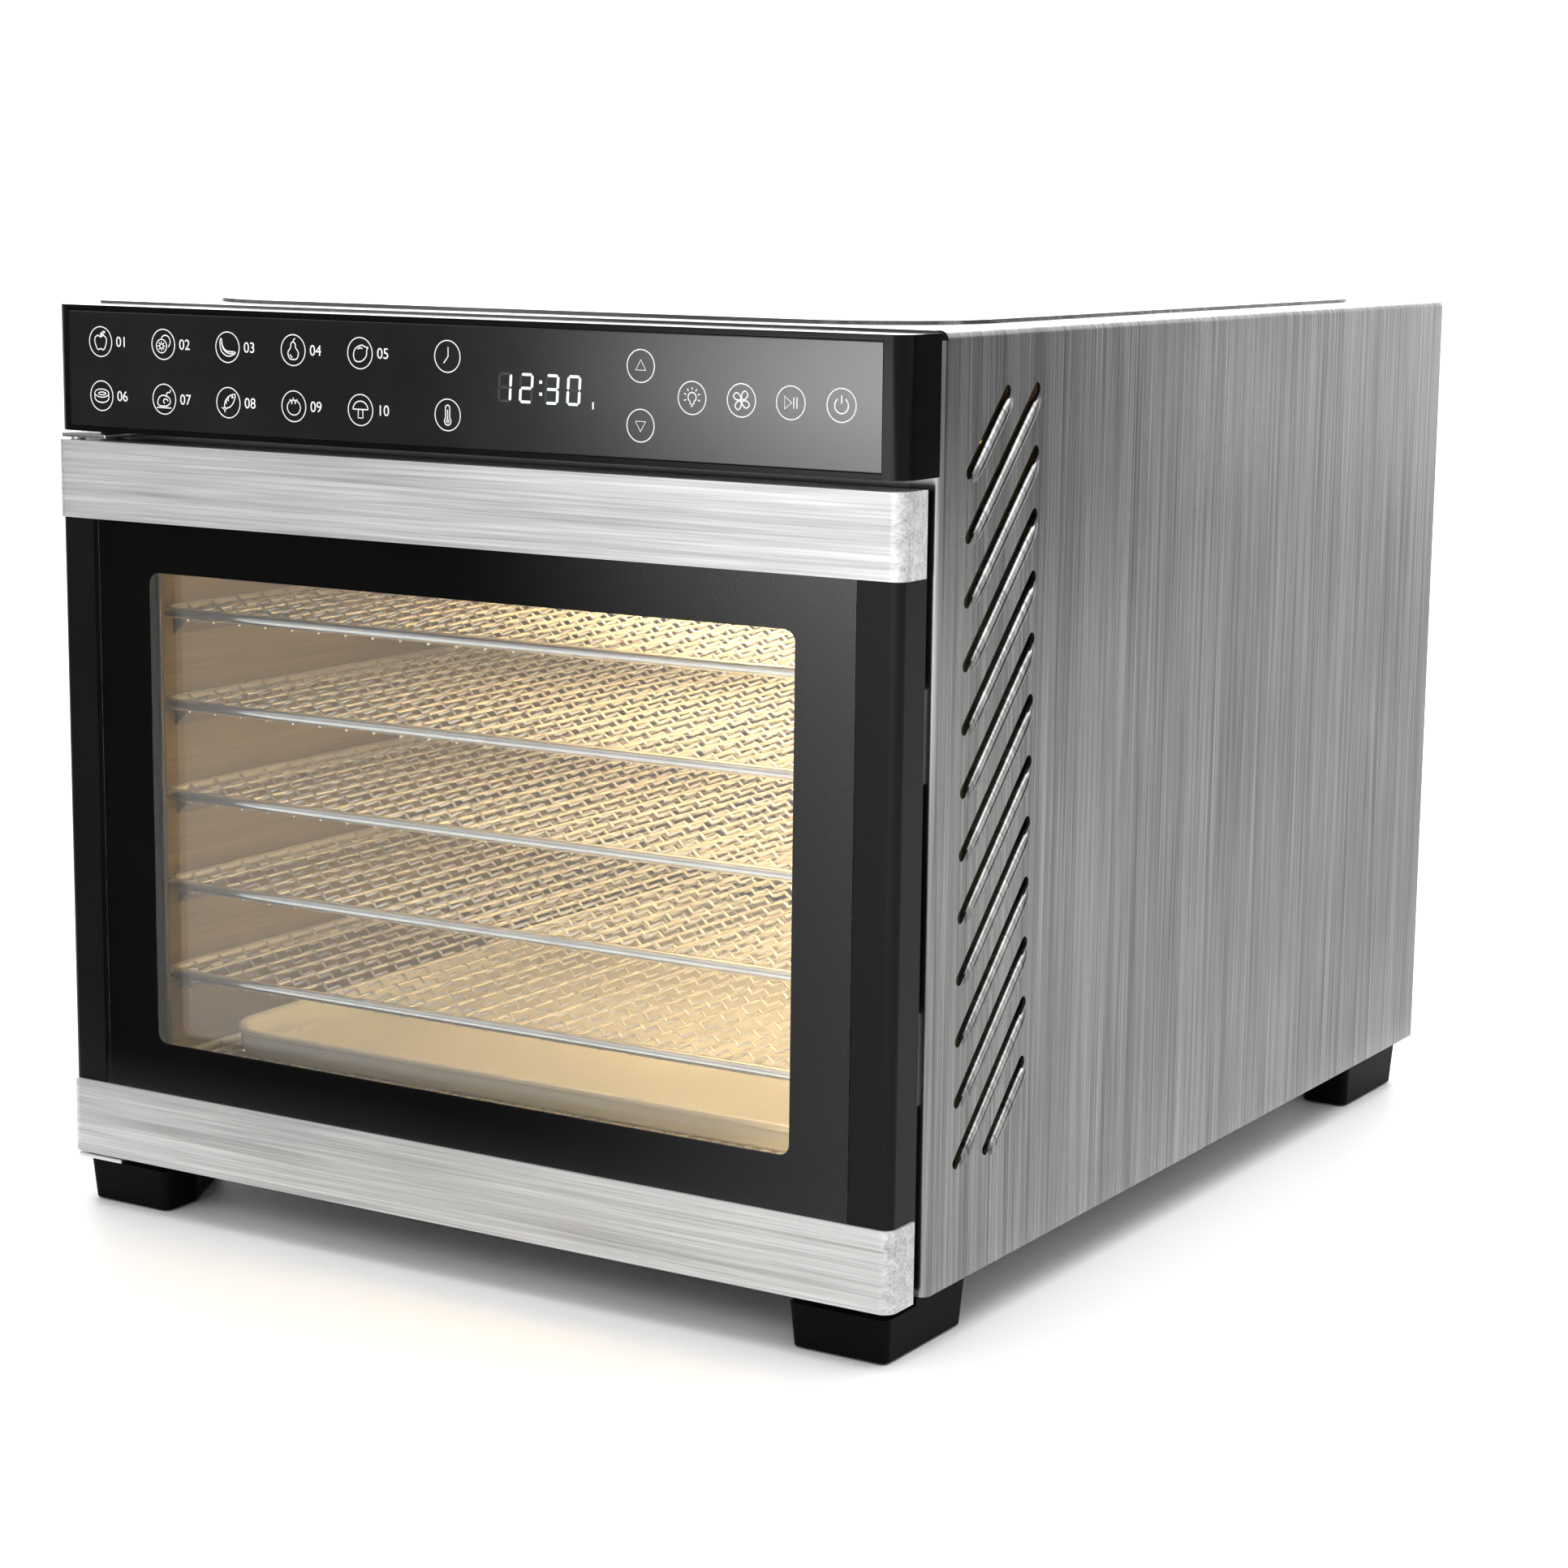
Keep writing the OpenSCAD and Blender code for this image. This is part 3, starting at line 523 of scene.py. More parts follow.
def brushed(
    name, tone, stretch, lines, depth, rough=(0.24, 0.4), contrast=0.2, dust=0.0, metal=1.0, specular=0.5
):
    """Brushed stainless sheet whose lines run the way that the stretch leaves long."""
    material, sheet, shader, _ = paint(name)
    grain = use(sheet, "brush", Stretch=stretch, Lines=lines)
    smudge = use(sheet, "smudge", Size=14.0)
    colour = tint(sheet, grain.outputs["Tone"], shade(tone, 1 - contrast), shade(tone, 1 + contrast))
    colour = tint(sheet, between(sheet, smudge.outputs["Mask"], 0.0, 0.12), colour, shade(tone, 0.7))
    if dust:
        settle = use(sheet, "dust", Amount=dust)
        colour = tint(sheet, settle.outputs["Mask"], colour, (0.8, 0.79, 0.77))
    sheet.join(colour, shader.inputs["Base Color"])
    shader.inputs["Metallic"].default_value = metal
    shader.inputs["Specular IOR Level"].default_value = specular
    sheet.join(between(sheet, grain.outputs["Rough"], rough[0], rough[1]), shader.inputs["Roughness"])
    relief(sheet, grain.outputs["Height"], depth, shader)
    return material


def bright_metal(name, tone, rough=0.16, size=60.0, spread=0.1, metal=1.0):
    """Plated or turned metal with faint handling marks."""
    material, sheet, shader, _ = paint(name)
    smudge = use(sheet, "smudge", Size=size)
    sheet.join(tint(sheet, smudge.outputs["Mask"], tone, shade(tone, 0.82)), shader.inputs["Base Color"])
    shader.inputs["Metallic"].default_value = metal
    sheet.join(between(sheet, smudge.outputs["Fine"], rough, rough + spread), shader.inputs["Roughness"])
    relief(sheet, smudge.outputs["Fine"], 0.00001, shader)
    return material


def moulded(name, tone, rough=0.42, grain=1400.0, depth=0.00003, variation=0.18, dust=0.0, specular=0.5):
    """Moulded plastic or rubber with a fine texture."""
    material, sheet, shader, _ = paint(name)
    texture = use(sheet, "mould", Grain=grain)
    colour = tint(sheet, texture.outputs["Shade"], shade(tone, 1 - variation), shade(tone, 1 + variation))
    if dust:
        settle = use(sheet, "dust", Amount=dust)
        colour = tint(sheet, settle.outputs["Mask"], colour, (0.5, 0.49, 0.47))
    sheet.join(colour, shader.inputs["Base Color"])
    sheet.join(
        between(sheet, texture.outputs["Shade"], rough - 0.05, rough + 0.07), shader.inputs["Roughness"]
    )
    shader.inputs["Specular IOR Level"].default_value = specular
    relief(sheet, texture.outputs["Height"], depth, shader)
    return material


def gloss_black(name, tone, rough=0.04, ior=1.5, size=18.0):
    """Polished black glass or lacquer with a faint trace of hands."""
    material, sheet, shader, _ = paint(name)
    smudge = use(sheet, "smudge", Size=size)
    sheet.join(tint(sheet, smudge.outputs["Mask"], tone, shade(tone, 1.6)), shader.inputs["Base Color"])
    sheet.join(between(sheet, smudge.outputs["Mask"], rough, rough + 0.03), shader.inputs["Roughness"])
    shader.inputs["IOR"].default_value = ior
    relief(sheet, smudge.outputs["Fine"], 0.000002, shader)
    return material


def clear_glass(name, tone, rough=0.0):
    """Clear glass to the eye. To lamp light and to light off the walls it is a grey see-through sheet."""
    material, sheet, shader, output = paint(name)
    smudge = use(sheet, "smudge", Size=26.0)
    sheet.join(tint(sheet, smudge.outputs["Mask"], tone, shade(tone, 0.985)), shader.inputs["Base Color"])
    sheet.join(between(sheet, smudge.outputs["Mask"], rough, rough + 0.012), shader.inputs["Roughness"])
    shader.inputs["Transmission Weight"].default_value = 1.0
    shader.inputs["IOR"].default_value = 1.47
    through = sheet.add("ShaderNodeBsdfTransparent")
    path = sheet.add("ShaderNodeLightPath").outputs
    sheet.join(
        tint(sheet, path["Is Shadow Ray"], (0.6, 0.6, 0.59), (0.72, 0.72, 0.71)), through.inputs["Color"]
    )
    mix = sheet.add("ShaderNodeMixShader")
    sheet.join(maths(sheet, "MAXIMUM", path["Is Shadow Ray"], path["Is Diffuse Ray"]), mix.inputs[0])
    sheet.join(shader.outputs[0], mix.inputs[1])
    sheet.join(through.outputs[0], mix.inputs[2])
    sheet.join(mix.outputs[0], output.inputs["Surface"])
    return material


def glowing(name, tone, strength, base=(0.02, 0.02, 0.02)):
    """A lit surface, a little uneven as a real diffuser is. On the printed marks this glow is painted light.
    """
    material, sheet, shader, _ = paint(name)
    smudge = use(sheet, "smudge", Size=300.0)
    shader.inputs["Base Color"].default_value = (*base, 1.0)
    sheet.join(
        tint(sheet, smudge.outputs["Fine"], shade(tone, 0.88), tuple(tone[:3])),
        shader.inputs["Emission Color"]
    )
    sheet.join(tint(sheet, smudge.outputs["Mask"], base, shade(base, 1.3)), shader.inputs["Base Color"])
    shader.inputs["Emission Strength"].default_value = strength
    shader.inputs["Roughness"].default_value = 0.35
    return material


class Finishes:
    """Every finish of the dehydrator, made once."""

    made = {}

    @classmethod
    def make(cls):
        metals = bpy.context.scene.dehydrator_metals
        panel = bpy.context.scene.dehydrator_panel
        lamp = bpy.context.scene.dehydrator_lamp
        lines, depth = metals.grain_lines, metals.grain_depth
        upright, level, fore = (0.012, 1.0, 0.012), (0.012, 1.0, 1.0), (1.0, 0.012, 1.0)
        cls.made = {
            "case": brushed(
                "Wrap brushed steel", metals.case_tone, upright, lines, depth, (0.18, 0.34), 0.6, 0.015
            ),
            "back": brushed(
                "Back sheet steel", shade(metals.case_tone, 1.2), (1.0, 1.0, 0.012), lines, depth,
                (0.26, 0.42), 0.22
            ),
            "door": brushed(
                "Door brushed steel", metals.door_tone, level, lines * 1.2, depth, (0.28, 0.46), 0.42, 0.0,
                0.5
            ),
            "front": brushed(
                "Front frame steel", shade(metals.case_tone, 1.35), level, lines, depth, (0.22, 0.34), 0.16
            ),
            # Chamber walls and baffle take the dark warm chamber colour: painted shade and painted warm lamp
            # light over brushed steel.
            "chamber": brushed(
                "Chamber steel with painted shade", metals.chamber_painted_shade_tone, fore, lines * 0.6, depth, (0.3, 0.46), 0.2, 0.0, 0.12,
                0.08
            ),
            "rear": brushed(
                "Baffle steel with painted shade", metals.chamber_painted_shade_tone, (0.012, 1.0, 1.0), lines * 0.6, depth, (0.32, 0.48), 0.2,
                0.0, 0.12, 0.08
            ),
            "bracket": bright_metal("Hinge steel", (0.72, 0.72, 0.71), 0.2),
            "chrome": bright_metal("Rack chrome", (0.93, 0.93, 0.92), 0.12, 90.0, 0.07, 0.7),
            "screw": bright_metal("Screw zinc", (0.66, 0.66, 0.64), 0.24, 200.0),
            "magnet": bright_metal("Magnet plate", (0.3, 0.3, 0.31), 0.35),
            "wheel": brushed(
                "Fan aluminium", (0.6, 0.61, 0.62), (1.0, 0.05, 1.0), lines * 0.5, depth, (0.3, 0.45), 0.14
            ),
            "motor": brushed(
                "Motor iron", (0.3, 0.31, 0.32), (1.0, 0.05, 1.0), lines * 0.4, depth, (0.4, 0.55), 0.2
            ),
            "heater": brushed(
                "Heater sheath", (0.34, 0.27, 0.22), (1.0, 1.0, 1.0), 260.0, depth, (0.42, 0.6), 0.35
            ),
            "holder": bright_metal("Lamp holder", (0.6, 0.58, 0.54), 0.3),
            "housing": gloss_black("Panel housing gloss", (0.004, 0.004, 0.0044), 0.1, 1.22),
            "panel": gloss_black("Panel glass", (0.012, 0.012, 0.013), 0.05, 1.62),
            "border": gloss_black("Window border ink", (0.004, 0.004, 0.0045), 0.2, 1.3),
            "frame": moulded("Door frame satin", (0.006, 0.006, 0.0062), 0.3, 1600.0, 0.00002, specular=0.14),
            "liner": moulded("Inner frame satin", (0.03, 0.03, 0.03), 0.42),
            "gasket": moulded("Gasket rubber", (0.05, 0.05, 0.05), 0.62, 900.0, 0.00005),
            "foot": moulded("Foot plastic", (0.004, 0.004, 0.0042), 0.42, 1000.0, 0.00005, 0.25, 0.01, 0.03),
            "pad": moulded("Foot pad rubber", (0.03, 0.03, 0.03), 0.7, 800.0, 0.00006),
            "inlet": moulded("Inlet plastic", (0.02, 0.02, 0.02), 0.38),
            "sensor": moulded("Sensor plastic", (0.12, 0.11, 0.1), 0.4),
            "board": moulded("Board laminate", (0.02, 0.12, 0.05), 0.3, 500.0),
            "silicone": moulded("Mesh silicone", (0.78, 0.79, 0.79), 0.36, 600.0, 0.00003, 0.04),
            "tray": moulded("Tray plastic", (0.82, 0.83, 0.83), 0.2, 700.0, 0.00001, 0.03),
            # The printed marks glow faintly on their own. This is a painted glow, as the print is no lamp.
            "ink": glowing("Printed ink with painted glow", tuple(panel.ink), 0.3, shade(panel.ink, 0.76)),
            "digits": glowing("Lit digits", tuple(panel.digit_light), panel.digit_glow),
            "ghost": moulded("Unlit digits", (0.035, 0.037, 0.038), 0.4, 2000.0, 0.000005),
            "glass": clear_glass("Door glass", (0.99, 0.995, 0.99)),
            "lens": clear_glass("Lamp lens", (1.0, 0.97, 0.9), 0.1),
            "bulb": glowing("Lamp bulb", tuple(lamp.tint), 1.5 if lamp.lit else 0.0, (0.6, 0.5, 0.4)),
        }

    @classmethod
    def get(cls, name):
        if not cls.made:
            cls.make()
        return cls.made[name]


# ---- Geometry trees ----


def geometry_tree(name, inputs):
    """A geometry tree with named inputs, which are given as (label, kind, default)."""
    tree = bpy.data.node_groups.new(name, "GeometryNodeTree")
    tree.interface.new_socket(name="Geometry", in_out="INPUT", socket_type="NodeSocketGeometry")
    for label, kind, value in (*inputs, ("Material", "Material", None)):
        socket = tree.interface.new_socket(name=label, in_out="INPUT", socket_type="NodeSocket" + kind)
        if value is not None:
            socket.default_value = value
    tree.interface.new_socket(name="Geometry", in_out="OUTPUT", socket_type="NodeSocketGeometry")
    sheet = Sheet(tree)
    return tree, sheet, sheet.add("NodeGroupInput"), sheet.add("NodeGroupOutput")


def close_tree(sheet, start, end, geometry, smooth=True):
    """Ends a tree: smooth shading, real geometry and a material."""
    real = sheet.add("GeometryNodeRealizeInstances")
    soft = sheet.add("GeometryNodeSetShadeSmooth")
    soft.inputs["Shade Smooth"].default_value = smooth
    cover = sheet.add("GeometryNodeSetMaterial")
    sheet.join(geometry, real.inputs[0])
    sheet.join(real.outputs[0], soft.inputs[0])
    sheet.join(soft.outputs[0], cover.inputs["Geometry"])
    sheet.join(start.outputs["Material"], cover.inputs["Material"])
    sheet.join(cover.outputs[0], end.inputs["Geometry"])


def wire(sheet, curve, radius, sides, caps=True):
    """Sweeps a round section along a curve."""
    ring = sheet.add("GeometryNodeCurvePrimitiveCircle")
    ring.inputs["Resolution"].default_value = sides
    sheet.join(radius, ring.inputs["Radius"])
    sweep = sheet.add("GeometryNodeCurveToMesh")
    sweep.inputs["Fill Caps"].default_value = caps
    sheet.join(curve, sweep.inputs["Curve"])
    sheet.join(ring.outputs[0], sweep.inputs["Profile Curve"])
    return sweep.outputs[0]


def vector(sheet, x=0.0, y=0.0, z=0.0):
    """A vector made from numbers or sockets."""
    node = sheet.add("ShaderNodeCombineXYZ")
    for place, value in enumerate((x, y, z)):
        if isinstance(value, (int, float)):
            node.inputs[place].default_value = value
        else:
            sheet.join(value, node.inputs[place])
    return node.outputs[0]


def rows(sheet, shape, count, first, gap):
    """Copies of a shape set out in a straight row."""
    line = sheet.add("GeometryNodeMeshLine")
    sheet.join(count, line.inputs["Count"])
    sheet.join(first, line.inputs["Start Location"])
    sheet.join(gap, line.inputs["Offset"])
    copies = sheet.add("GeometryNodeInstanceOnPoints")
    sheet.join(line.outputs[0], copies.inputs["Points"])
    sheet.join(shape, copies.inputs["Instance"])
    return copies.outputs[0]


def rack_tree():
    """A wire rack: a frame wire with round corners and a thin rail inside it, filled with mesh.

    Crimped wires run from side to side and straight wires from front to back. The straight wires' ends are
    bent round the front rail.
    """
    tree, sheet, start, end = geometry_tree(
        "Wire rack",
        (
            ("Width", "Float", 0.296), ("Depth", "Float", 0.324), ("Corner", "Float", 0.012),
            ("Frame wire", "Float", 0.002), ("Second rail", "Float", 0.0011), ("Mesh wire", "Float", 0.0006),
            ("Crimped wires", "Int", 21), ("Straight wires", "Int", 23),
            ("Crimp pitch", "Float", 0.007), ("Crimp height", "Float", 0.0009),
        ),
    )
    get = start.outputs
    half_w = times(sheet, get["Width"], 0.5)
    half_d = times(sheet, get["Depth"], 0.5)

    def loop(inset, radius, sides, drop):
        quad = sheet.add("GeometryNodeCurvePrimitiveQuadrilateral")
        sheet.join(minus(sheet, get["Width"], inset * 2), quad.inputs["Width"])
        sheet.join(minus(sheet, get["Depth"], inset * 2), quad.inputs["Height"])
        fillet = sheet.add("GeometryNodeFilletCurve")
        fillet.mode = "POLY"
        fillet.inputs["Count"].default_value = 7
        sheet.join(quad.outputs[0], fillet.inputs["Curve"])
        sheet.join(minus(sheet, get["Corner"], inset), fillet.inputs["Radius"])
        lower = sheet.add("GeometryNodeTransform")
        lower.inputs["Translation"].default_value = (0.0, 0.0, drop)
        sheet.join(wire(sheet, fillet.outputs[0], radius, sides, False), lower.inputs["Geometry"])
        return lower.outputs[0]

    # One crimped wire: four points to a wave, up and down and a little forwards and back
    path = sheet.add("GeometryNodeCurvePrimitiveLine")
    sheet.join(vector(sheet, times(sheet, half_w, -1.0)), path.inputs["Start"])
    sheet.join(vector(sheet, half_w), path.inputs["End"])
    cut = sheet.add("GeometryNodeResampleCurve")
    sheet.join(path.outputs[0], cut.inputs["Curve"])
    steps = times(sheet, over(sheet, get["Width"], get["Crimp pitch"]), 4.0)
    sheet.join(maths(sheet, "ROUND", steps), cut.inputs["Count"])
    turn = times(sheet, sheet.add("GeometryNodeInputIndex").outputs[0], math.pi / 2)
    rise = times(sheet, maths(sheet, "SINE", turn), get["Crimp height"])
    bend = sheet.add("GeometryNodeSetPosition")
    sheet.join(cut.outputs[0], bend.inputs["Geometry"])
    sheet.join(vector(sheet, 0.0, rise, rise), bend.inputs["Offset"])
    crimped_gap = over(sheet, get["Depth"], plus(sheet, get["Crimped wires"], 1.0))
    crimped = rows(
        sheet, wire(sheet, bend.outputs[0], get["Mesh wire"], 5), get["Crimped wires"],
        vector(sheet, 0.0, minus(sheet, crimped_gap, half_d)), vector(sheet, 0.0, crimped_gap),
    )

    # One straight wire, and the short bent end that shows under the front rail
    straight_gap = over(sheet, get["Width"], plus(sheet, get["Straight wires"], 1.0))
    first_x = minus(sheet, straight_gap, half_w)
    run = sheet.add("GeometryNodeCurvePrimitiveLine")
    sheet.join(vector(sheet, 0.0, times(sheet, half_d, -1.0)), run.inputs["Start"])
    sheet.join(vector(sheet, 0.0, half_d), run.inputs["End"])
    straight = rows(
        sheet, wire(sheet, run.outputs[0], get["Mesh wire"], 6), get["Straight wires"],
        vector(sheet, first_x), vector(sheet, straight_gap),
    )
    tip = sheet.add("GeometryNodeCurvePrimitiveLine")
    inner = plus(sheet, times(sheet, half_d, -1.0), times(sheet, get["Frame wire"], 1.3))
    sheet.join(vector(sheet, 0.0, inner, 0.0), tip.inputs["Start"])
    sheet.join(vector(sheet, 0.0, inner, times(sheet, get["Frame wire"], -1.5)), tip.inputs["End"])
    tips = rows(
        sheet, wire(sheet, tip.outputs[0], get["Mesh wire"], 6), get["Straight wires"],
        vector(sheet, first_x), vector(sheet, straight_gap),
    )
    whole = sheet.add("GeometryNodeJoinGeometry")
    rail_inset, rail_drop = 0.0042, -0.0014
    rim = loop(0.0, get["Frame wire"], 14, 0.0)
    rail = loop(rail_inset, get["Second rail"], 8, rail_drop)
    for part in (rim, rail, crimped, straight, tips):
        sheet.join(part, whole.inputs[0])
    close_tree(sheet, start, end, whole.outputs[0])
    return tree


def printed_line_tree():
    """Thin raised lines along the edges they are given."""
    tree, sheet, start, end = geometry_tree("Printed line", (("Line", "Float", 0.0002),))
    path = sheet.add("GeometryNodeMeshToCurve")
    sheet.join(start.outputs["Geometry"], path.inputs["Mesh"])
    close_tree(sheet, start, end, wire(sheet, path.outputs[0], start.outputs["Line"], 6))
    return tree


def lip_tree():
    """Pressed lips along the edges they are given, which run out at both ends."""
    tree, sheet, start, end = geometry_tree("Vent lip", (("Lip", "Float", 0.0016),))
    path = sheet.add("GeometryNodeMeshToCurve")
    sheet.join(start.outputs["Geometry"], path.inputs["Mesh"])
    cut = sheet.add("GeometryNodeResampleCurve")
    cut.inputs["Count"].default_value = 13
    sheet.join(path.outputs[0], cut.inputs["Curve"])
    along = sheet.add("GeometryNodeSplineParameter").outputs["Factor"]
    middle = maths(sheet, "ABSOLUTE", minus(sheet, times(sheet, along, 2.0), 1.0))
    taper = maths(sheet, "POWER", minus(sheet, 1.0, maths(sheet, "POWER", middle, 8.0)), 0.5)
    width = sheet.add("GeometryNodeSetCurveRadius")
    sheet.join(cut.outputs[0], width.inputs["Curve"])
    sheet.join(maths(sheet, "MAXIMUM", taper, 0.15), width.inputs["Radius"])
    ring = sheet.add("GeometryNodeCurvePrimitiveCircle")
    ring.inputs["Resolution"].default_value = 12
    sheet.join(start.outputs["Lip"], ring.inputs["Radius"])
    sweep = sheet.add("GeometryNodeCurveToMesh")
    sweep.inputs["Fill Caps"].default_value = True
    sheet.join(width.outputs[0], sweep.inputs["Curve"])
    sheet.join(ring.outputs[0], sweep.inputs["Profile Curve"])
    sheet.join(sheet.add("GeometryNodeInputRadius").outputs[0], sweep.inputs["Scale"])
    close_tree(sheet, start, end, sweep.outputs[0])
    return tree


def lattice_tree():
    """A flat sheet of square holes made of bars both ways."""
    tree, sheet, start, end = geometry_tree(
        "Hole lattice",
        (
            ("Width", "Float", 0.27), ("Depth", "Float", 0.3), ("Bar", "Float", 0.0022),
            ("Thick", "Float", 0.001), ("Across", "Int", 45), ("Along", "Int", 50)
        ),
    )
    get = start.outputs

    def bars(size, count, first, gap):
        cube = sheet.add("GeometryNodeMeshCube")
        sheet.join(size, cube.inputs["Size"])
        return rows(sheet, cube.outputs[0], count, first, gap)

    step_x = over(sheet, minus(sheet, get["Width"], get["Bar"]), minus(sheet, get["Across"], 1.0))
    step_y = over(sheet, minus(sheet, get["Depth"], get["Bar"]), minus(sheet, get["Along"], 1.0))
    left = times(sheet, minus(sheet, get["Width"], get["Bar"]), -0.5)
    near = times(sheet, minus(sheet, get["Depth"], get["Bar"]), -0.5)
    whole = sheet.add("GeometryNodeJoinGeometry")
    sheet.join(
        bars(
            vector(sheet, get["Bar"], get["Depth"], get["Thick"]), get["Across"], vector(sheet, left),
            vector(sheet, step_x)
        ),
        whole.inputs[0]
    )
    thin = times(sheet, get["Thick"], 0.86)
    sheet.join(
        bars(
            vector(sheet, get["Width"], get["Bar"], thin), get["Along"], vector(sheet, 0.0, near),
            vector(sheet, 0.0, step_y)
        ),
        whole.inputs[0]
    )
    close_tree(sheet, start, end, whole.outputs[0], False)
    return tree


def scatter_tree():
    """Copies of one shape at the points they are given, each turned to its own direction."""
    tree, sheet, start, end = geometry_tree(
        "Set at points", (("Shape", "Object", None), ("Turn", "Vector", (0.0, 0.0, 0.0)))
    )
    info = sheet.add("GeometryNodeObjectInfo")
    sheet.join(start.outputs["Shape"], info.inputs["Object"])
    copies = sheet.add("GeometryNodeInstanceOnPoints")
    sheet.join(start.outputs["Geometry"], copies.inputs["Points"])
    sheet.join(info.outputs["Geometry"], copies.inputs["Instance"])
    sheet.join(start.outputs["Turn"], copies.inputs["Rotation"])
    close_tree(sheet, start, end, copies.outputs[0])
    return tree


class Trees:
    """The geometry trees, made once."""

    made = {}

    @classmethod
    def get(cls, name):
        makers = {
            "rack": rack_tree, "line": printed_line_tree, "lip": lip_tree, "lattice": lattice_tree,
            "scatter": scatter_tree
        }
        if name not in cls.made:
            cls.made[name] = makers[name]()
        return cls.made[name]


# ---- Case ----


def vent_slots():
    """Start and end of each vent slot on the case's side, as (depth, height) in millimetres."""
    near, band, lowest, pitch, top = 40.0, 44.0, 40.0, 20.0, 284.0
    slots, z = [], lowest - pitch
    while z <= top:
        a, b = max(0.0, lowest - z), min(band, top - z)
        if b - a > 4.0:
            slots.append(((near + a, z + a), (near + b, z + b)))
        z += pitch
    return slots


class DEHYDRATOR_OT_case(bpy.types.Operator):
    """Finish the wrap, back, base, cover and front frame, with the pressed vent lips"""

    bl_idname = "dehydrator.case"
    bl_label = "Case"

    def execute(self, context):
        refined("outer_case", "case", corner=28.0, side=SIDE_X)
        refined("base_pan", "back")
        refined("back_panel", "back", 0.0003, 1)
        refined("rear_cover", "back")
        refined("front_frame", "front", 0.0003, 1)
        # Millimetres: the lip's radius, how deep its middle lies, half a slot's width, overrun at the ends
        lip, sunk, half_slot, overrun = 2.2, 0.9, 2.0, 1.2
        off = (half_slot + lip * 0.78) * math.sqrt(0.5)
        for side, label in ((1, "right"), (-1, "left")):
            points, edges = [], []
            x = side * (SIDE_X / MM - sunk)
            for (d0, z0), (d1, z1) in vent_slots():
                edges.append((len(points), len(points) + 1))
                points += [
                    spot(x, d0 + off - overrun, z0 - off - overrun),
                    spot(x, d1 + off + overrun, z1 - off + overrun),
                ]
            lips = grown(
                f"vent_lips_{label}", points, edges, Trees.get("lip"), Finishes.get("case"), Lip=lip * MM
            )
            home(lips, "cabinet")
        return {"FINISHED"}


def screw_shape(radius, height):
    """A domed screw head with a cross recess, standing along +Z from its seat."""
    work = bmesh.new()
    sides, rings = 16, ((1.0, 0.0), (1.0, 0.35), (0.9, 0.68), (0.68, 0.9))
    loops = []
    for share, rise in rings:
        loops.append([
            work.verts.new(
                (
                    radius * share * math.cos(2 * math.pi * i / sides),
                    radius * share * math.sin(2 * math.pi * i / sides), height * rise
                )
            )
            for i in range(sides)
        ])
    for low, high in zip(loops, loops[1:]):
        for i in range(sides):
            work.faces.new((low[i], low[(i + 1) % sides], high[(i + 1) % sides], high[i]))
    arm, half = 0.56, 0.13
    cross = []
    for quarter in range(4):
        turn = Matrix.Rotation(quarter * math.pi / 2, 3, "Z")
        for x, y in ((half, half), (arm, half), (arm, -half)):
            cross.append(turn @ Vector((x * radius, -y * radius if y < 0 else y * radius, 0)))
    order = sorted(cross, key=lambda p: math.atan2(p.y, p.x))
    top = [work.verts.new((p.x, p.y, height * 0.97)) for p in order]
    low = [work.verts.new((p.x * 0.8, p.y * 0.8, height * 0.35)) for p in order]
    count = len(top)
    for i in range(count):
        work.faces.new((top[i], top[(i + 1) % count], low[(i + 1) % count], low[i]))
    work.faces.new(low)
    edges = [work.edges.get((loops[-1][i], loops[-1][(i + 1) % sides])) for i in range(sides)]
    edges += [work.edges.get((top[i], top[(i + 1) % count])) for i in range(count)]
    bmesh.ops.triangle_fill(work, use_beauty=True, edges=[e for e in edges if e])
    work.faces.new(list(reversed(loops[0])))
    bmesh.ops.recalc_face_normals(work, faces=work.faces)
    mesh = bpy.data.meshes.new("screw_shape")
    work.to_mesh(mesh)
    work.free()
    return bpy.data.objects.new("screw_shape", mesh)


def set_screws(name, points, turn, radius, height, body, nodes):
    """Screw heads at given points."""
    shape = screw_shape(radius, height)
    heads = grown(name, points, (), Trees.get("scatter"), Finishes.get("screw"), Shape=shape, Turn=turn)
    heads.data.set_sharp_from_angle(angle=math.radians(40))
    bpy.data.objects.remove(shape)
    return home(heads, body, nodes)


class DEHYDRATOR_OT_screws(bpy.types.Operator):
    """Set the screws on the back, the rear cover and under the feet"""

    bl_idname = "dehydrator.screws"
    bl_label = "Screws"

    def execute(self, context):
        backwards = (-math.pi / 2, 0.0, 0.0)
        case_head, cover_head, rise = 0.0032, 0.003, 0.0018
        low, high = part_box("case_screws")
        x = high.x - case_head
        z = (low.z + case_head, high.z - case_head)
        points = [Vector((px, CASE_BACK, pz)) for px in (-x, 0.0, x) for pz in z]
        points += [Vector((px, CASE_BACK, CASE_FLOOR + 0.152)) for px in (-x, x)]
        set_screws(
            "case_screw_heads", points, backwards, case_head, rise, "cabinet", ["case_screws"]
        )
        low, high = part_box("cover_screws")
        mid = (low + high) / 2
        reach = high.x - cover_head
        points = [Vector((sx * reach, low.y, mid.z + sz * reach)) for sx in (-1, 1) for sz in (-1, 1)]
        set_screws(
            "cover_screw_heads", points, backwards, cover_head, rise, "cabinet",
            ["cover_screws"]
        )
        refined("foot_screws", "screw")
        return {"FINISHED"}


class DEHYDRATOR_OT_feet(bpy.types.Operator):
    """Round the four corner feet and their pads"""

    bl_idname = "dehydrator.feet"
    bl_label = "Feet"

    def execute(self, context):
        for node in ("foot_front_left", "foot_front_right", "foot_rear_left", "foot_rear_right"):
            refined(node, "foot", 0.0014, 3)
        refined("foot_pads", "pad", 0.0008, 2)
        return {"FINISHED"}


# ---- Door ----


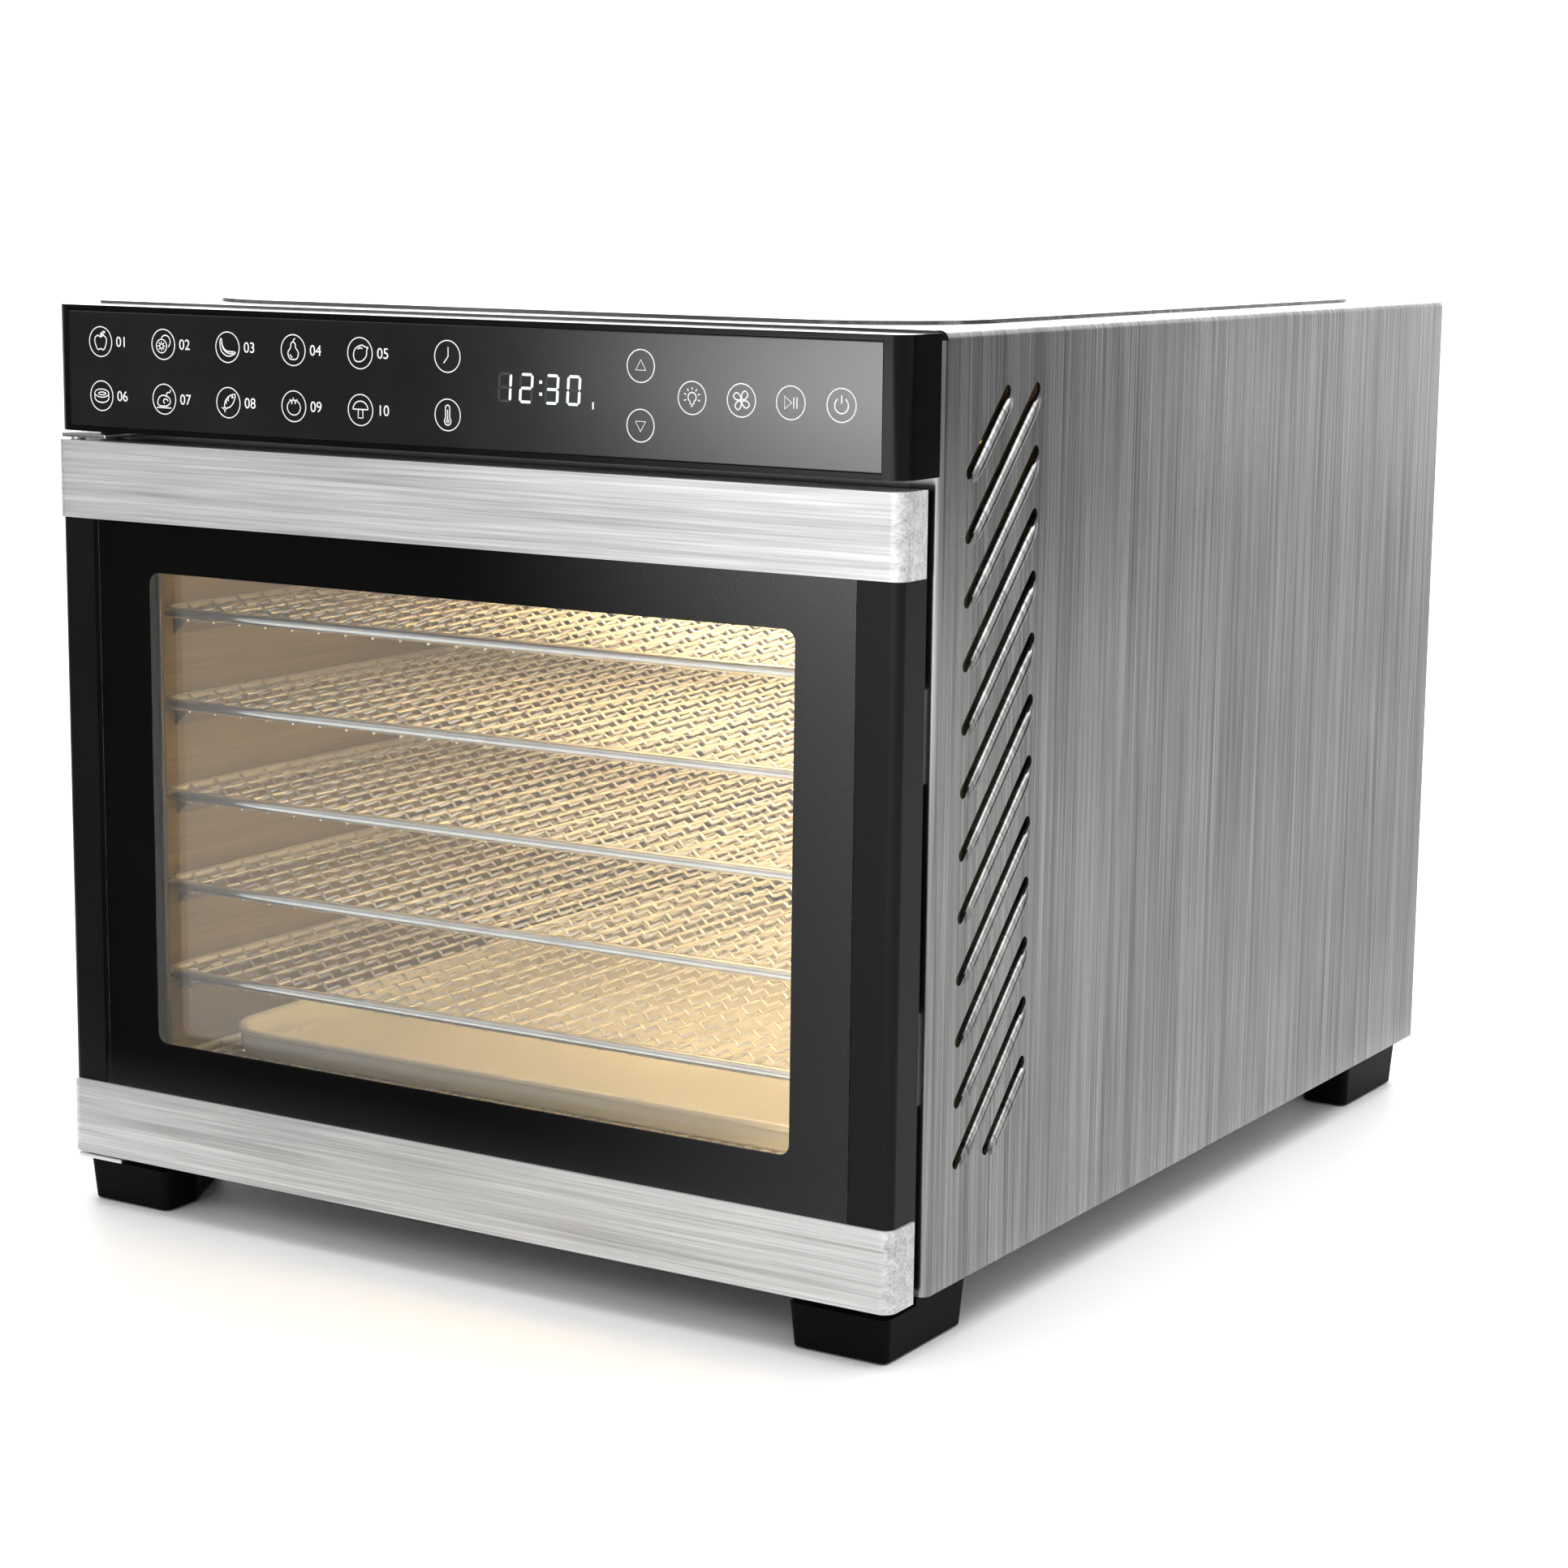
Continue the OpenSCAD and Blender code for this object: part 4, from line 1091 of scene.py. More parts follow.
class DEHYDRATOR_OT_door(bpy.types.Operator):
    """Finish the door's bars, frame, glass, gasket and hinges"""

    bl_idname = "dehydrator.door"
    bl_label = "Door"

    def execute(self, context):
        refined("door_top_bar", "door", 0.0004, 2)
        refined("door_bottom_bar", "door", 0.0004, 2)
        refined("door_frame", "frame", 0.0006, 2)
        refined("inner_frame", "liner", 0.0008, 2)
        refined("door_glass", "glass", 0.0003, 1)
        refined("inner_glass", "glass", 0.0002, 1)
        refined("window_border", "border")
        refined("door_gasket", "gasket", 0.0012, 3)
        refined("door_magnets", "magnet", 0.0003, 1)
        refined("hinge_brackets", "bracket", 0.0003, 2)
        refined("hinge_pins", "bracket", 0.0004, 2)
        refined("strike_plates", "bracket", 0.0003, 2)
        return {"FINISHED"}


# ---- Touch panel ----


def arc(x, z, rx, rz, start, end, count=20):
    """Points on part of an ellipse, with its angles in degrees."""
    turns = [math.radians(start + (end - start) * i / count) for i in range(count + 1)]
    return [(x + rx * math.cos(t), z + rz * math.sin(t)) for t in turns]


def spline(a, b, c, d, t):
    """A smooth curve's value between b and c, at the share t of the way."""
    square = 2 * a - 5 * b + 4 * c - d
    cube = 3 * b - a - 3 * c + d
    return 0.5 * (2 * b + (c - a) * t + square * t * t + cube * t ** 3)


def curved(points, closed=True, count=5):
    """A smooth line through points."""
    out, n = [], len(points)
    spans = n if closed else n - 1
    for i in range(spans):
        if closed:
            p = [points[(i + k) % n] for k in (-1, 0, 1, 2)]
        else:
            p = [points[min(max(i + k, 0), n - 1)] for k in (-1, 0, 1, 2)]
        for s in range(count):
            t = s / count
            out.append(tuple(spline(*(q[axis] for q in p), t) for axis in (0, 1)))
    out.append(out[0] if closed else points[-1])
    return out


def turned(points, degrees, x=0.0, z=0.0):
    """Points turned about a centre."""
    c, s = math.cos(math.radians(degrees)), math.sin(math.radians(degrees))
    return [(x + (px - x) * c - (pz - z) * s, z + (px - x) * s + (pz - z) * c) for px, pz in points]


def key_drawings():
    """Line drawings inside the keys, in millimetres from each key's centre."""
    petal = [(0.2, 0.3), (1.5, 0.5), (2.3, 1.8), (1.3, 2.9), (0.2, 2.0)]
    ray = [(0.0, 2.5), (0.0, 3.3)]
    apple = [
        (0, 1.6), (1.3, 2.1), (2.6, 1.1), (2.4, -0.9), (1.3, -2.7), (0, -2.4), (-1.3, -2.7), (-2.4, -0.9),
        (-2.6, 1.1), (-1.3, 2.1)
    ]
    pear = [
        (0, 2.7), (0.9, 2.1), (1.1, 0.8), (2.2, -0.8), (1.6, -2.7), (0, -3.1), (-1.6, -2.7), (-2.2, -0.8),
        (-1.1, 0.8), (-0.9, 2.1)
    ]
    banana = [
        (-2.6, 2.6), (-2.1, 0.4), (-0.5, -1.2), (2.9, -1.5), (3.1, -2.1), (0.2, -3.0), (-2.6, -1.5),
        (-3.3, 1.2), (-3.0, 2.6)
    ]
    lemon = [
        (3.3, 1.9), (2.4, 2.0), (0.6, 2.6), (-1.9, 1.4), (-2.7, -0.8), (-1.8, -2.6), (0.6, -2.6), (2.5, -1.0),
        (2.8, 0.9)
    ]
    bird = [(-3.0, -1.4), (-2.2, 0.6), (-0.3, 1.3), (1.9, 0.7), (2.7, -0.9), (1.2, -2.2), (-1.8, -2.3)]
    fish = [(-1.4, -1.8), (-1.5, 0.1), (0.2, 2.1), (2.9, 2.8), (2.4, 0.5), (0.8, -1.3)]
    return {
        "apple": [
            curved(apple), [(0, 1.7), (0.1, 3.0)], curved([(0.3, 2.5), (1.0, 3.4), (1.9, 3.4), (1.2, 2.6)])
        ],
        "kiwi": [
            arc(-0.8, -0.6, 2.3, 2.3, 0, 360, 24), arc(-0.8, -0.6, 0.8, 0.8, 0, 360, 12),
            arc(1.0, 1.0, 2.1, 2.1, -58, 148)
        ]
        + [turned([(-0.8, 0.5), (-0.8, 1.0)], 45 * i, -0.8, -0.6) for i in range(8)],
        "banana": [curved(banana), curved([(-2.7, 1.6), (-1.7, -0.8), (0.4, -2.0), (2.6, -1.9)], False)],
        "pear": [
            curved(pear), curved([(0, 2.8), (0.3, 3.5), (0.9, 3.9)], False),
            arc(-0.1, -1.2, 1.2, 1.2, 190, 260, 6)
        ],
        "lemon": [curved(lemon), arc(0.2, 0.0, 1.7, 1.7, 60, 130, 6)],
        "strips": [
            arc(0, 0.9, 3.2, 1.4, 0, 360, 24), arc(0, -0.6, 3.2, 1.7, 180, 360), [(-3.2, 0.9), (-3.2, -0.6)],
            [(3.2, 0.9), (3.2, -0.6)], arc(0.2, 0.8, 1.7, 0.5, 0, 360, 14)
        ],
        "bird": [
            curved(bird), curved([(0.9, 0.8), (1.3, 2.2), (2.5, 2.4), (2.9, 3.3)], False),
            [(-3.3, -2.9), (3.1, -2.9)], arc(0.6, -0.7, 1.0, 0.8, 0, 250, 10)
        ],
        "fish": [
            curved(fish), [(-1.3, -1.7), (-3.0, -1.7), (-1.9, -2.2), (-1.6, -3.3), (-0.9, -1.8)],
            arc(1.8, 1.9, 0.3, 0.3, 0, 360, 8), arc(1.1, 1.1, 1.2, 1.2, 130, 210, 6),
            arc(0.2, 0.2, 1.2, 1.2, 130, 210, 6)
        ],
        "tomato": [
            arc(0, -0.4, 2.8, 2.5, 0, 360, 26),
            [(-1.7, 2.2), (-0.7, 1.5), (-0.2, 2.9), (0.4, 1.5), (1.6, 2.3)], [(-0.7, 1.5), (-0.9, 0.7)],
            [(0.4, 1.5), (0.8, 0.8)]
        ],
        "mushroom": [
            arc(0, 0.2, 3.1, 2.7, 0, 180), [(-3.1, 0.2), (3.1, 0.2)],
            [(-0.9, 0.2), (-1.0, -2.6), (1.0, -2.6), (0.9, 0.2)]
        ],
        "clock": [[(0.3, 3.0), (0.3, 0.0), (-1.5, -2.2)]],
        "thermometer": [
            arc(0, 2.3, 0.85, 0.85, 0, 180, 10), [(0.85, 2.3), (0.85, -1.0)], [(-0.85, 2.3), (-0.85, -1.0)],
            arc(0, -2.0, 1.3, 1.3, 130, 410, 18), [(0, 1.7), (0, -1.5)], arc(0, -2.0, 0.45, 0.45, 0, 360, 10)
        ],
        "up": [[(0, 1.9), (1.9, -1.3), (-1.9, -1.3), (0, 1.9)]],
        "down": [[(0, -1.9), (1.9, 1.3), (-1.9, 1.3), (0, -1.9)]],
        "bulb": [
            arc(0, 0.2, 1.5, 1.5, -60, 240, 18), [(-0.7, -1.1), (-0.7, -1.9), (0.7, -1.9), (0.7, -1.1)],
            [(-0.4, -2.5), (0.4, -2.5)]
        ]
        + [turned(ray, a, 0, 0.2) for a in (-110, -70, -35, 0, 35, 70, 110)],
        "fan": [curved(turned(petal, 90 * i)) for i in range(4)] + [arc(0, 0, 0.4, 0.4, 0, 360, 8)],
        "run": [
            [(-2.2, 1.9), (-2.2, -1.9), (0.4, 0.0), (-2.2, 1.9)], [(1.1, 1.7), (1.1, -1.7)],
            [(2.2, 1.7), (2.2, -1.7)]
        ],
        "power": [arc(0, -0.1, 2.4, 2.4, 125, 415, 22), [(0, 0.5), (0, 3.0)]],
    }


KEY_PLACES = {
    "apple": (-148.1, 290.9), "kiwi": (-119.7, 290.9), "banana": (-91.3, 290.9), "pear": (-63.0, 290.9),
    "lemon": (-34.9, 290.9),
    "strips": (-148.1, 272.35), "bird": (-119.7, 272.35), "fish": (-91.3, 272.35), "tomato": (-63.0, 272.35),
    "mushroom": (-34.9, 272.35),
    "clock": (0.8, 291.1), "thermometer": (0.8, 272.3), "up": (75.8, 290.8), "down": (75.8, 272.3),
    "bulb": (94.9, 281.7), "fan": (112.9, 281.7), "run": (130.6, 281.7), "power": (148.5, 281.7),
}

# The display's digits, in millimetres: their foot above the case's floor, size, bar thickness and lean
DIGIT_LOW, DIGIT_WIDE, DIGIT_TALL, BAR_THICK, DIGIT_SLANT = 277.8, 4.4, 8.7, 0.9, 0.06

SEGMENTS = {"0": "abcdef", "1": "bc", "2": "abged", "3": "abgcd"}


def segment_bars(x, z, wide, tall, thick, slant):
    """The seven bars of one digit, as six-cornered outlines."""
    half = tall / 2
    gap = thick * 0.16

    def flat(y):
        a, b, t = gap + thick * 0.5, wide - gap - thick * 0.5, thick / 2
        return [(a - t, y), (a, y + t), (b, y + t), (b + t, y), (b, y - t), (a, y - t)]

    def tallbar(px, low):
        a, b, t = low + gap + thick * 0.5, low + half - gap - thick * 0.5, thick / 2
        return [(px, a - t), (px + t, a), (px + t, b), (px, b + t), (px - t, b), (px - t, a)]

    bars = {
        "a": flat(tall), "g": flat(half), "d": flat(0), "f": tallbar(0, half), "b": tallbar(wide, half),
        "e": tallbar(0, 0), "c": tallbar(wide, 0),
    }
    return {k: [(x + px + slant * pz, z + pz) for px, pz in v] for k, v in bars.items()}


def plates(name, outlines, face, thick, material):
    """Thin plates with given outlines, which stand on the panel's face."""
    points, faces = [], []
    for outline in outlines:
        n, first = len(outline), len(points)
        area = sum(a[0] * b[1] - b[0] * a[1] for a, b in zip(outline, outline[1:] + outline[:1]))
        ring = outline if area > 0 else outline[::-1]
        for depth in (face - thick, face + thick):
            points += [spot(px, 0, pz) + Vector((0, depth, 0)) for px, pz in ring]
        faces.append([first + i for i in range(n)])
        faces.append([first + n + i for i in reversed(range(n))])
        faces += [[first + (i + 1) % n, first + i, first + n + i, first + n + (i + 1) % n] for i in range(n)]
    return mesh_object(name, points, faces, material)


def numeral(name, text, x, z, tall, material):
    """A printed number on the panel's face."""
    letters = bpy.data.curves.new(name, "FONT")
    letters.body = text
    letters.size = tall * MM
    letters.align_x, letters.align_y = "LEFT", "CENTER"
    letters.extrude = 0.00006
    holder = bpy.data.objects.new(name, letters)
    bpy.context.scene.collection.objects.link(holder)
    bpy.context.view_layer.update()
    mesh = bpy.data.meshes.new_from_object(holder.evaluated_get(bpy.context.evaluated_depsgraph_get()))
    bpy.data.objects.remove(holder)
    at = spot(x, 0, z)
    mesh.transform(Matrix.Translation((at.x, PANEL_FACE, at.z)) @ Matrix.Rotation(math.pi / 2, 4, "X"))
    mesh.materials.clear()
    mesh.materials.append(material)
    thing = bpy.data.objects.new(name, mesh)
    bpy.context.scene.collection.objects.link(thing)
    return thing


def joined(name, things):
    """Several plain mesh objects made into one."""
    work = bmesh.new()
    for thing in things:
        work.from_mesh(thing.data)
    mesh = bpy.data.meshes.new(name)
    work.to_mesh(mesh)
    work.free()
    mesh.materials.append(things[0].data.materials[0])
    for thing in things:
        bpy.data.objects.remove(thing)
    whole = bpy.data.objects.new(name, mesh)
    bpy.context.scene.collection.objects.link(whole)
    return whole


class DEHYDRATOR_OT_panel(bpy.types.Operator):
    """Finish the touch panel with its printed keys and lit digits"""

    bl_idname = "dehydrator.panel"
    bl_label = "Touch panel"

    def execute(self, context):
        panel = context.scene.dehydrator_panel
        ink = Finishes.get("ink")
        refined("panel_housing", "housing", 0.0012, 3)
        refined("panel_glass", "panel", 0.0005, 2)
        refined("display_module", "ghost")
        refined("control_board", "board")
        drawings = key_drawings()
        ring = panel.ring / MM
        points, edges = [], []
        for key, (x, z) in KEY_PLACES.items():
            for stroke in [arc(0, 0, ring, ring, 0, 360, 40), *drawings[key]]:
                closed = math.dist(stroke[0], stroke[-1]) < 1e-6
                path = stroke[:-1] if closed else stroke
                first = len(points)
                points += [spot(x + px, 0, z + pz) + Vector((0, panel.line * 0.55, 0)) for px, pz in path]
                edges += [(first + i, first + i + 1) for i in range(len(path) - 1)]
                if closed:
                    edges.append((first + len(path) - 1, first))
        marks = grown("key_marks", points, edges, Trees.get("line"), ink, Line=panel.line)
        home(marks, "cabinet")
        labels = []
        for i, key in enumerate(
            ("apple", "kiwi", "banana", "pear", "lemon", "strips", "bird", "fish", "tomato", "mushroom")
        ):
            x, z = KEY_PLACES[key]
            labels.append(numeral(f"label_{i}", f"{i + 1:02d}", x + 7.0, z, 5.0, ink))
        home(joined("key_numbers", labels), "cabinet")
        lit, unlit = [], []
        for text, x in zip("1230", (21.2, 29.6, 39.6, 48.0)):
            for bar, outline in segment_bars(
                x, DIGIT_LOW, DIGIT_WIDE, DIGIT_TALL, BAR_THICK, DIGIT_SLANT
            ).items():
                (lit if bar in SEGMENTS[text] else unlit).append(outline)
        for z in (280.0, 283.8):
            lit.append([(37.2 + a, z + b) for a, b in ((0, 0), (1.0, 0), (1.0, 1.0), (0, 1.0))])
        lit.append([(57.6 + a, 276.6 + b) for a, b in ((0, 0), (0.5, 0), (0.5, 2.2), (0, 2.2))])
        home(plates("digits_lit", lit, 0.0, 0.00012, Finishes.get("digits")), "cabinet")
        home(plates("digits_unlit", unlit, 0.0, 0.00008, Finishes.get("ghost")), "cabinet")
        return {"FINISHED"}


# ---- Chamber ----


class DEHYDRATOR_OT_chamber(bpy.types.Operator):
    """Finish the drying chamber's walls, baffle and guard, and the lamp"""

    bl_idname = "dehydrator.chamber"
    bl_label = "Drying chamber"

    def execute(self, context):
        for node in ("chamber_wall_left", "chamber_wall_right", "chamber_roof", "chamber_floor"):
            refined(node, "chamber", 0.0004, 2)
        refined("air_baffle", "rear")
        refined("rear_wall", "rear")
        refined("fan_guard", "bracket", corner=40.0)
        refined("lamp_holder", "holder", 0.0005, 2)
        refined("lamp_bulb", "bulb", corner=60.0)
        refined("lamp_lens", "lens", 0.0004, 2)
        refined("temperature_probe", "bracket", corner=45.0)
        return {"FINISHED"}


class DEHYDRATOR_OT_air(bpy.types.Operator):
    """Finish the fan, motor, heater, boards and inlet"""

    bl_idname = "dehydrator.air"
    bl_label = "Fan, heater and power"

    def execute(self, context):
        refined("fan_wheel", "wheel", 0.0003, 1)
        refined("fan_shaft", "bracket", corner=45.0)
        refined("fan_motor", "motor", 0.0008, 2)
        refined("motor_posts", "bracket", corner=45.0)
        refined("heater_element", "heater", corner=45.0)
        refined("heater_clips", "bracket", 0.0002, 1)
        refined("thermostat", "sensor", 0.0004, 2)
        refined("thermal_fuse", "sensor", 0.0003, 2)
        refined("power_board", "board")
        refined("mains_inlet", "inlet", 0.0006, 2)
        return {"FINISHED"}


class DEHYDRATOR_OT_racks(bpy.types.Operator):
    """Build the seven sliding wire racks, the mesh sheet and the fruit roll tray"""

    bl_idname = "dehydrator.racks"
    bl_label = "Racks, mesh sheet and tray"

    def execute(self, context):
        racks = context.scene.dehydrator_racks
        low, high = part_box("rack_1")
        radius = (high.z - low.z) / 2
        pattern = grown(
            "rack_pattern", [(0, 0, 0)], (), Trees.get("rack"), Finishes.get("chrome"),
            Width=high.x - low.x - 2 * radius, Depth=high.y - low.y - 2 * radius, Corner=0.008,
            Frame_wire=radius,
            Second_rail=racks.second_rail, Mesh_wire=racks.mesh_wire, Crimped_wires=racks.crimped_wires,
            Straight_wires=racks.straight_wires, Crimp_pitch=racks.crimp_pitch,
            Crimp_height=racks.crimp_height,
        )
        for level in range(1, RACKS + 1):
            low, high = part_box(f"rack_{level}")
            mesh = pattern.data.copy()
            mesh.transform(Matrix.Translation((low + high) / 2))
            rack = bpy.data.objects.new(f"wire_rack_{level}", mesh)
            context.scene.collection.objects.link(rack)
            home(rack, f"level_{level}", [f"rack_{level}"])
        bpy.data.objects.remove(pattern)

        low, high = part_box("mesh_sheet")
        size = high - low
        bar, hole_pitch = 0.0024, 0.0062
        sheet = grown(
            "silicone_mesh", [(0, 0, 0)], (), Trees.get("lattice"), Finishes.get("silicone"),
            Width=size.x, Depth=size.y, Bar=bar, Thick=size.z,
            Across=round(size.x / hole_pitch), Along=round(size.y / hole_pitch),
        )
        sheet.data.transform(Matrix.Translation((low + high) / 2))
        home(sheet, "level_1", ["mesh_sheet"])

        low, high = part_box("fruit_roll_tray")
        tray = rolled_tray(low, high)
        home(tray, "level_1", ["fruit_roll_tray"])
        return {"FINISHED"}


def round_ring(half_x, half_y, corner, count=8):
    """Points round a rectangle with round corners, counter-clockwise."""
    out = []
    for sx, sy, start in ((1, 1, 0), (-1, 1, 90), (-1, -1, 180), (1, -1, 270)):
        for i in range(count + 1):
            t = math.radians(start + 90 * i / count)
            out.append(
                (sx * (half_x - corner) + corner * math.cos(t), sy * (half_y - corner) + corner * math.sin(t))
            )
    return out


def rolled_tray(low, high):
    """A moulded tray with leaning walls, a soft floor corner and a rolled rim."""
    middle = (low + high) / 2
    half_x, half_y, tall = (high.x - low.x) / 2, (high.y - low.y) / 2, high.z - low.z
    wall = 0.0016
    profile = [(0.0040, 0.0), (0.0022, 0.0004), (0.0012, 0.0020)]
    profile += [
        (0.0012, tall - 0.0026), (0.0004, tall - 0.0022), (0.0, tall - 0.0014), (0.0003, tall - 0.0005),
        (0.0012, tall)
    ]
    profile += [
        (0.0022, tall - 0.0002), (0.0029, tall - 0.0010), (0.0031, tall - 0.0022), (0.0036, wall + 0.0030),
        (0.0048, wall + 0.0012), (0.0075, wall)
    ]
    points, faces, rings = [], [], []
    for inset, z in profile:
        ring = round_ring(half_x - inset, half_y - inset, 0.022 - inset)
        rings.append(range(len(points), len(points) + len(ring)))
        points += [Vector((middle.x + x, middle.y + y, low.z + z)) for x, y in ring]
    for lower, upper in zip(rings, rings[1:]):
        n = len(lower)
        faces += [[lower[i], lower[(i + 1) % n], upper[(i + 1) % n], upper[i]] for i in range(n)]
    faces.append(list(reversed(rings[0])))
    faces.append(list(rings[-1]))
    tray = mesh_object("roll_tray", points, faces, Finishes.get("tray"))
    tray.data.shade_smooth()
    tray.data.set_sharp_from_angle(angle=math.radians(40))
    return tray


# ---- Stage ----

# Height of the lying cards above the floor, in metres
CARD_RISE = 0.001


def area_light(name, place, target, width, height, power, colour=(1, 1, 1), seen=True, spread=180.0):
    """A soft rectangular light that faces a target."""
    light = bpy.data.lights.new(name, "AREA")
    light.shape = "RECTANGLE"
    light.size, light.size_y = width, height
    light.energy = power
    light.color = colour
    light.spread = math.radians(spread)
    thing = bpy.data.objects.new(name, light)
    thing.location = place
    thing.rotation_euler = (Vector(target) - Vector(place)).to_track_quat("-Z", "Y").to_euler()
    thing.visible_camera = False
    thing.visible_glossy = seen
    thing.visible_transmission = False
    bpy.context.scene.collection.objects.link(thing)
    return thing


def sweep_floor(tone):
    """A pale floor that curves up into a backdrop."""
    material, sheet, shader, _ = paint("Studio floor")
    texture = use(sheet, "mould", Grain=300.0)
    sheet.join(
        tint(sheet, texture.outputs["Shade"], shade(tone, 0.99), tuple(tone)), shader.inputs["Base Color"]
    )
    shader.inputs["Roughness"].default_value = 0.55
    shader.inputs["Specular IOR Level"].default_value = 0.2
    edge, foot, bend, top = 9.0, 3.0, 1.5, 6.0
    curve = [
        (foot + bend * math.sin(a), bend - bend * math.cos(a)) for a in (0.2, 0.5, 0.8, 1.1, 1.4, math.pi / 2)
    ]
    profile = [(-edge, 0.0), (foot, 0.0)] + curve + [(foot + bend, top)]
    points, faces = [], []
    for x in (-edge, edge):
        points += [(x, y, z) for y, z in profile]
    n = len(profile)
    faces = [[i, n + i, n + i + 1, i + 1] for i in range(n - 1)]
    floor = mesh_object("studio_floor", points, faces, material)
    floor.data.shade_smooth()


def gloss_only(name, points, material):
    """A four-cornered card that shows in glossy reflections and nowhere else."""
    card = mesh_object(name, points, [[0, 1, 2, 3]], material)
    for way in ("camera", "diffuse", "shadow", "transmission", "volume_scatter"):
        setattr(card, "visible_" + way, False)


def front_card():
    """A card in front of the object, bright at its right and dark towards its left."""
    material = bpy.data.materials.new("Front card")
    material.use_nodes = True
    material.node_tree.nodes.clear()
    sheet = Sheet(material.node_tree)
    parts = sheet.add("ShaderNodeSeparateXYZ")
    sheet.join(sheet.add("ShaderNodeTexCoord").outputs["Object"], parts.inputs[0])
    run = minus(sheet, 0.66, parts.outputs["Y"])
    side = minus(sheet, 0.68, parts.outputs["X"])
    angle = maths(sheet, "ARCTAN2", side, run)
    across = mapped(sheet, angle, math.radians(38.0), math.radians(27.5), 0.0, 1.0, "SMOOTHERSTEP")
    away = mapped(sheet, run, 0.7, 5.5, 0.3, 2.0, "SMOOTHSTEP")
    strength = plus(sheet, 0.07, times(sheet, times(sheet, across, away), 3.2))
    glow = sheet.add("ShaderNodeEmission")
    sheet.join(strength, glow.inputs["Strength"])
    mix = sheet.add("ShaderNodeMixShader")
    sheet.join(mapped(sheet, run, 0.905, 1.06, 0.0, 1.0, "SMOOTHSTEP"), mix.inputs[0])
    sheet.join(sheet.add("ShaderNodeBsdfTransparent").outputs[0], mix.inputs[1])
    sheet.join(glow.outputs[0], mix.inputs[2])
    output = sheet.add("ShaderNodeOutputMaterial")
    sheet.join(mix.outputs[0], output.inputs["Surface"])
    corners = ((-9.0, -9.0), (2.0, -9.0), (2.0, -0.245), (-9.0, -0.245))
    gloss_only("front_card", [(x, y, CARD_RISE) for x, y in corners], material)


def bright_card(name, label, points, strength, base=None):
    """A glowing card that only gloss sees."""
    material, sheet, shader, _ = paint(label)
    texture = use(sheet, "mould", Grain=200.0)
    glow = tint(sheet, texture.outputs["Shade"], (0.96, 0.96, 0.96), (1.0, 1.0, 1.0))
    sheet.join(glow, shader.inputs["Emission Color"])
    if base:
        shader.inputs["Base Color"].default_value = base
    shader.inputs["Emission Strength"].default_value = strength
    gloss_only(name, points, material)


def gloss_boards():
    """Three cards that only gloss sees.

    A dark one at the right keeps the case's side from turning white. Two bright ones, low at the right and
    high at the rear, light its foot and its top.
    """
    material, sheet, shader, _ = paint("Side flag")
    texture = use(sheet, "mould", Grain=200.0)
    dark = tint(sheet, texture.outputs["Shade"], (0.01, 0.01, 0.01), (0.02, 0.02, 0.02))
    sheet.join(dark, shader.inputs["Base Color"])
    shader.inputs["Roughness"].default_value = 0.9
    flag = [(1.12, 1.92, 0.0), (3.6, 0.2, 0.0), (3.6, 0.2, 0.75), (1.12, 1.92, 0.75)]
    gloss_only("side_flag", flag, material)
    low = [(x, y, CARD_RISE) for x, y in ((0.2, -0.7), (3.2, -0.7), (3.2, 3.0), (0.2, 3.0))]
    bright_card("low_card", "Low card", low, 0.76, (0.0, 0.0, 0.0, 1.0))
    rear = [(-4.2, 2.3, 0.0), (0.2, 2.9, 0.0), (0.2, 2.9, 2.6), (-4.2, 2.3, 2.6)]
    bright_card("rear_card", "Rear card", rear, 2.4)


def studio_room(strength):
    """Even room light that grows brighter overhead. Looked at directly, the room is pale."""
    world = bpy.data.worlds.new("Room")
    world.use_nodes = True
    world.node_tree.nodes.clear()
    sheet = Sheet(world.node_tree)
    parts = sheet.add("ShaderNodeSeparateXYZ")
    sheet.join(sheet.add("ShaderNodeTexCoord").outputs["Generated"], parts.inputs[0])
    rise = mapped(sheet, parts.outputs["Z"], 0.05, 0.7, strength, strength * 1.9, "SMOOTHSTEP")
    direct = sheet.add("ShaderNodeMix", data_type="FLOAT")
    sheet.join(sheet.add("ShaderNodeLightPath").outputs["Is Camera Ray"], direct.inputs[0])
    sheet.join(rise, direct.inputs[2])
    direct.inputs[3].default_value = 0.9
    glow = sheet.add("ShaderNodeBackground")
    glow.inputs["Color"].default_value = (0.98, 0.99, 1.0, 1.0)
    sheet.join(direct.outputs[0], glow.inputs["Strength"])
    output = sheet.add("ShaderNodeOutputWorld")
    sheet.join(glow.outputs[0], output.inputs["Surface"])
    return world


class DEHYDRATOR_OT_lamp(bpy.types.Operator):
    """Light the drying chamber"""

    bl_idname = "dehydrator.lamp"
    bl_label = "Chamber light"

    def execute(self, context):
        lamp = context.scene.dehydrator_lamp
        if not lamp.lit:
            return {"FINISHED"}
        warm = tuple(lamp.tint)
        area_light("lamp_light", spot(91.2, 70, 242.5), spot(70, 120, 0), 0.04, 0.04, lamp.power, warm)
        area_light(
            "chamber_glow_right", spot(149, 30, 128), spot(-60, 150, 120), 0.008, 0.2, lamp.spread * 0.45,
            warm
        )
        area_light(
            "chamber_glow_top", spot(20, 190, 243), spot(0, 200, 0), 0.24, 0.26, lamp.spread * 0.6, warm,
            spread=110.0
        )
        area_light(
            "chamber_glow_low", spot(0, 190, 17), spot(0, 210, 240), 0.26, 0.28, lamp.spread * 0.4, warm,
            spread=110.0
        )
        return {"FINISHED"}


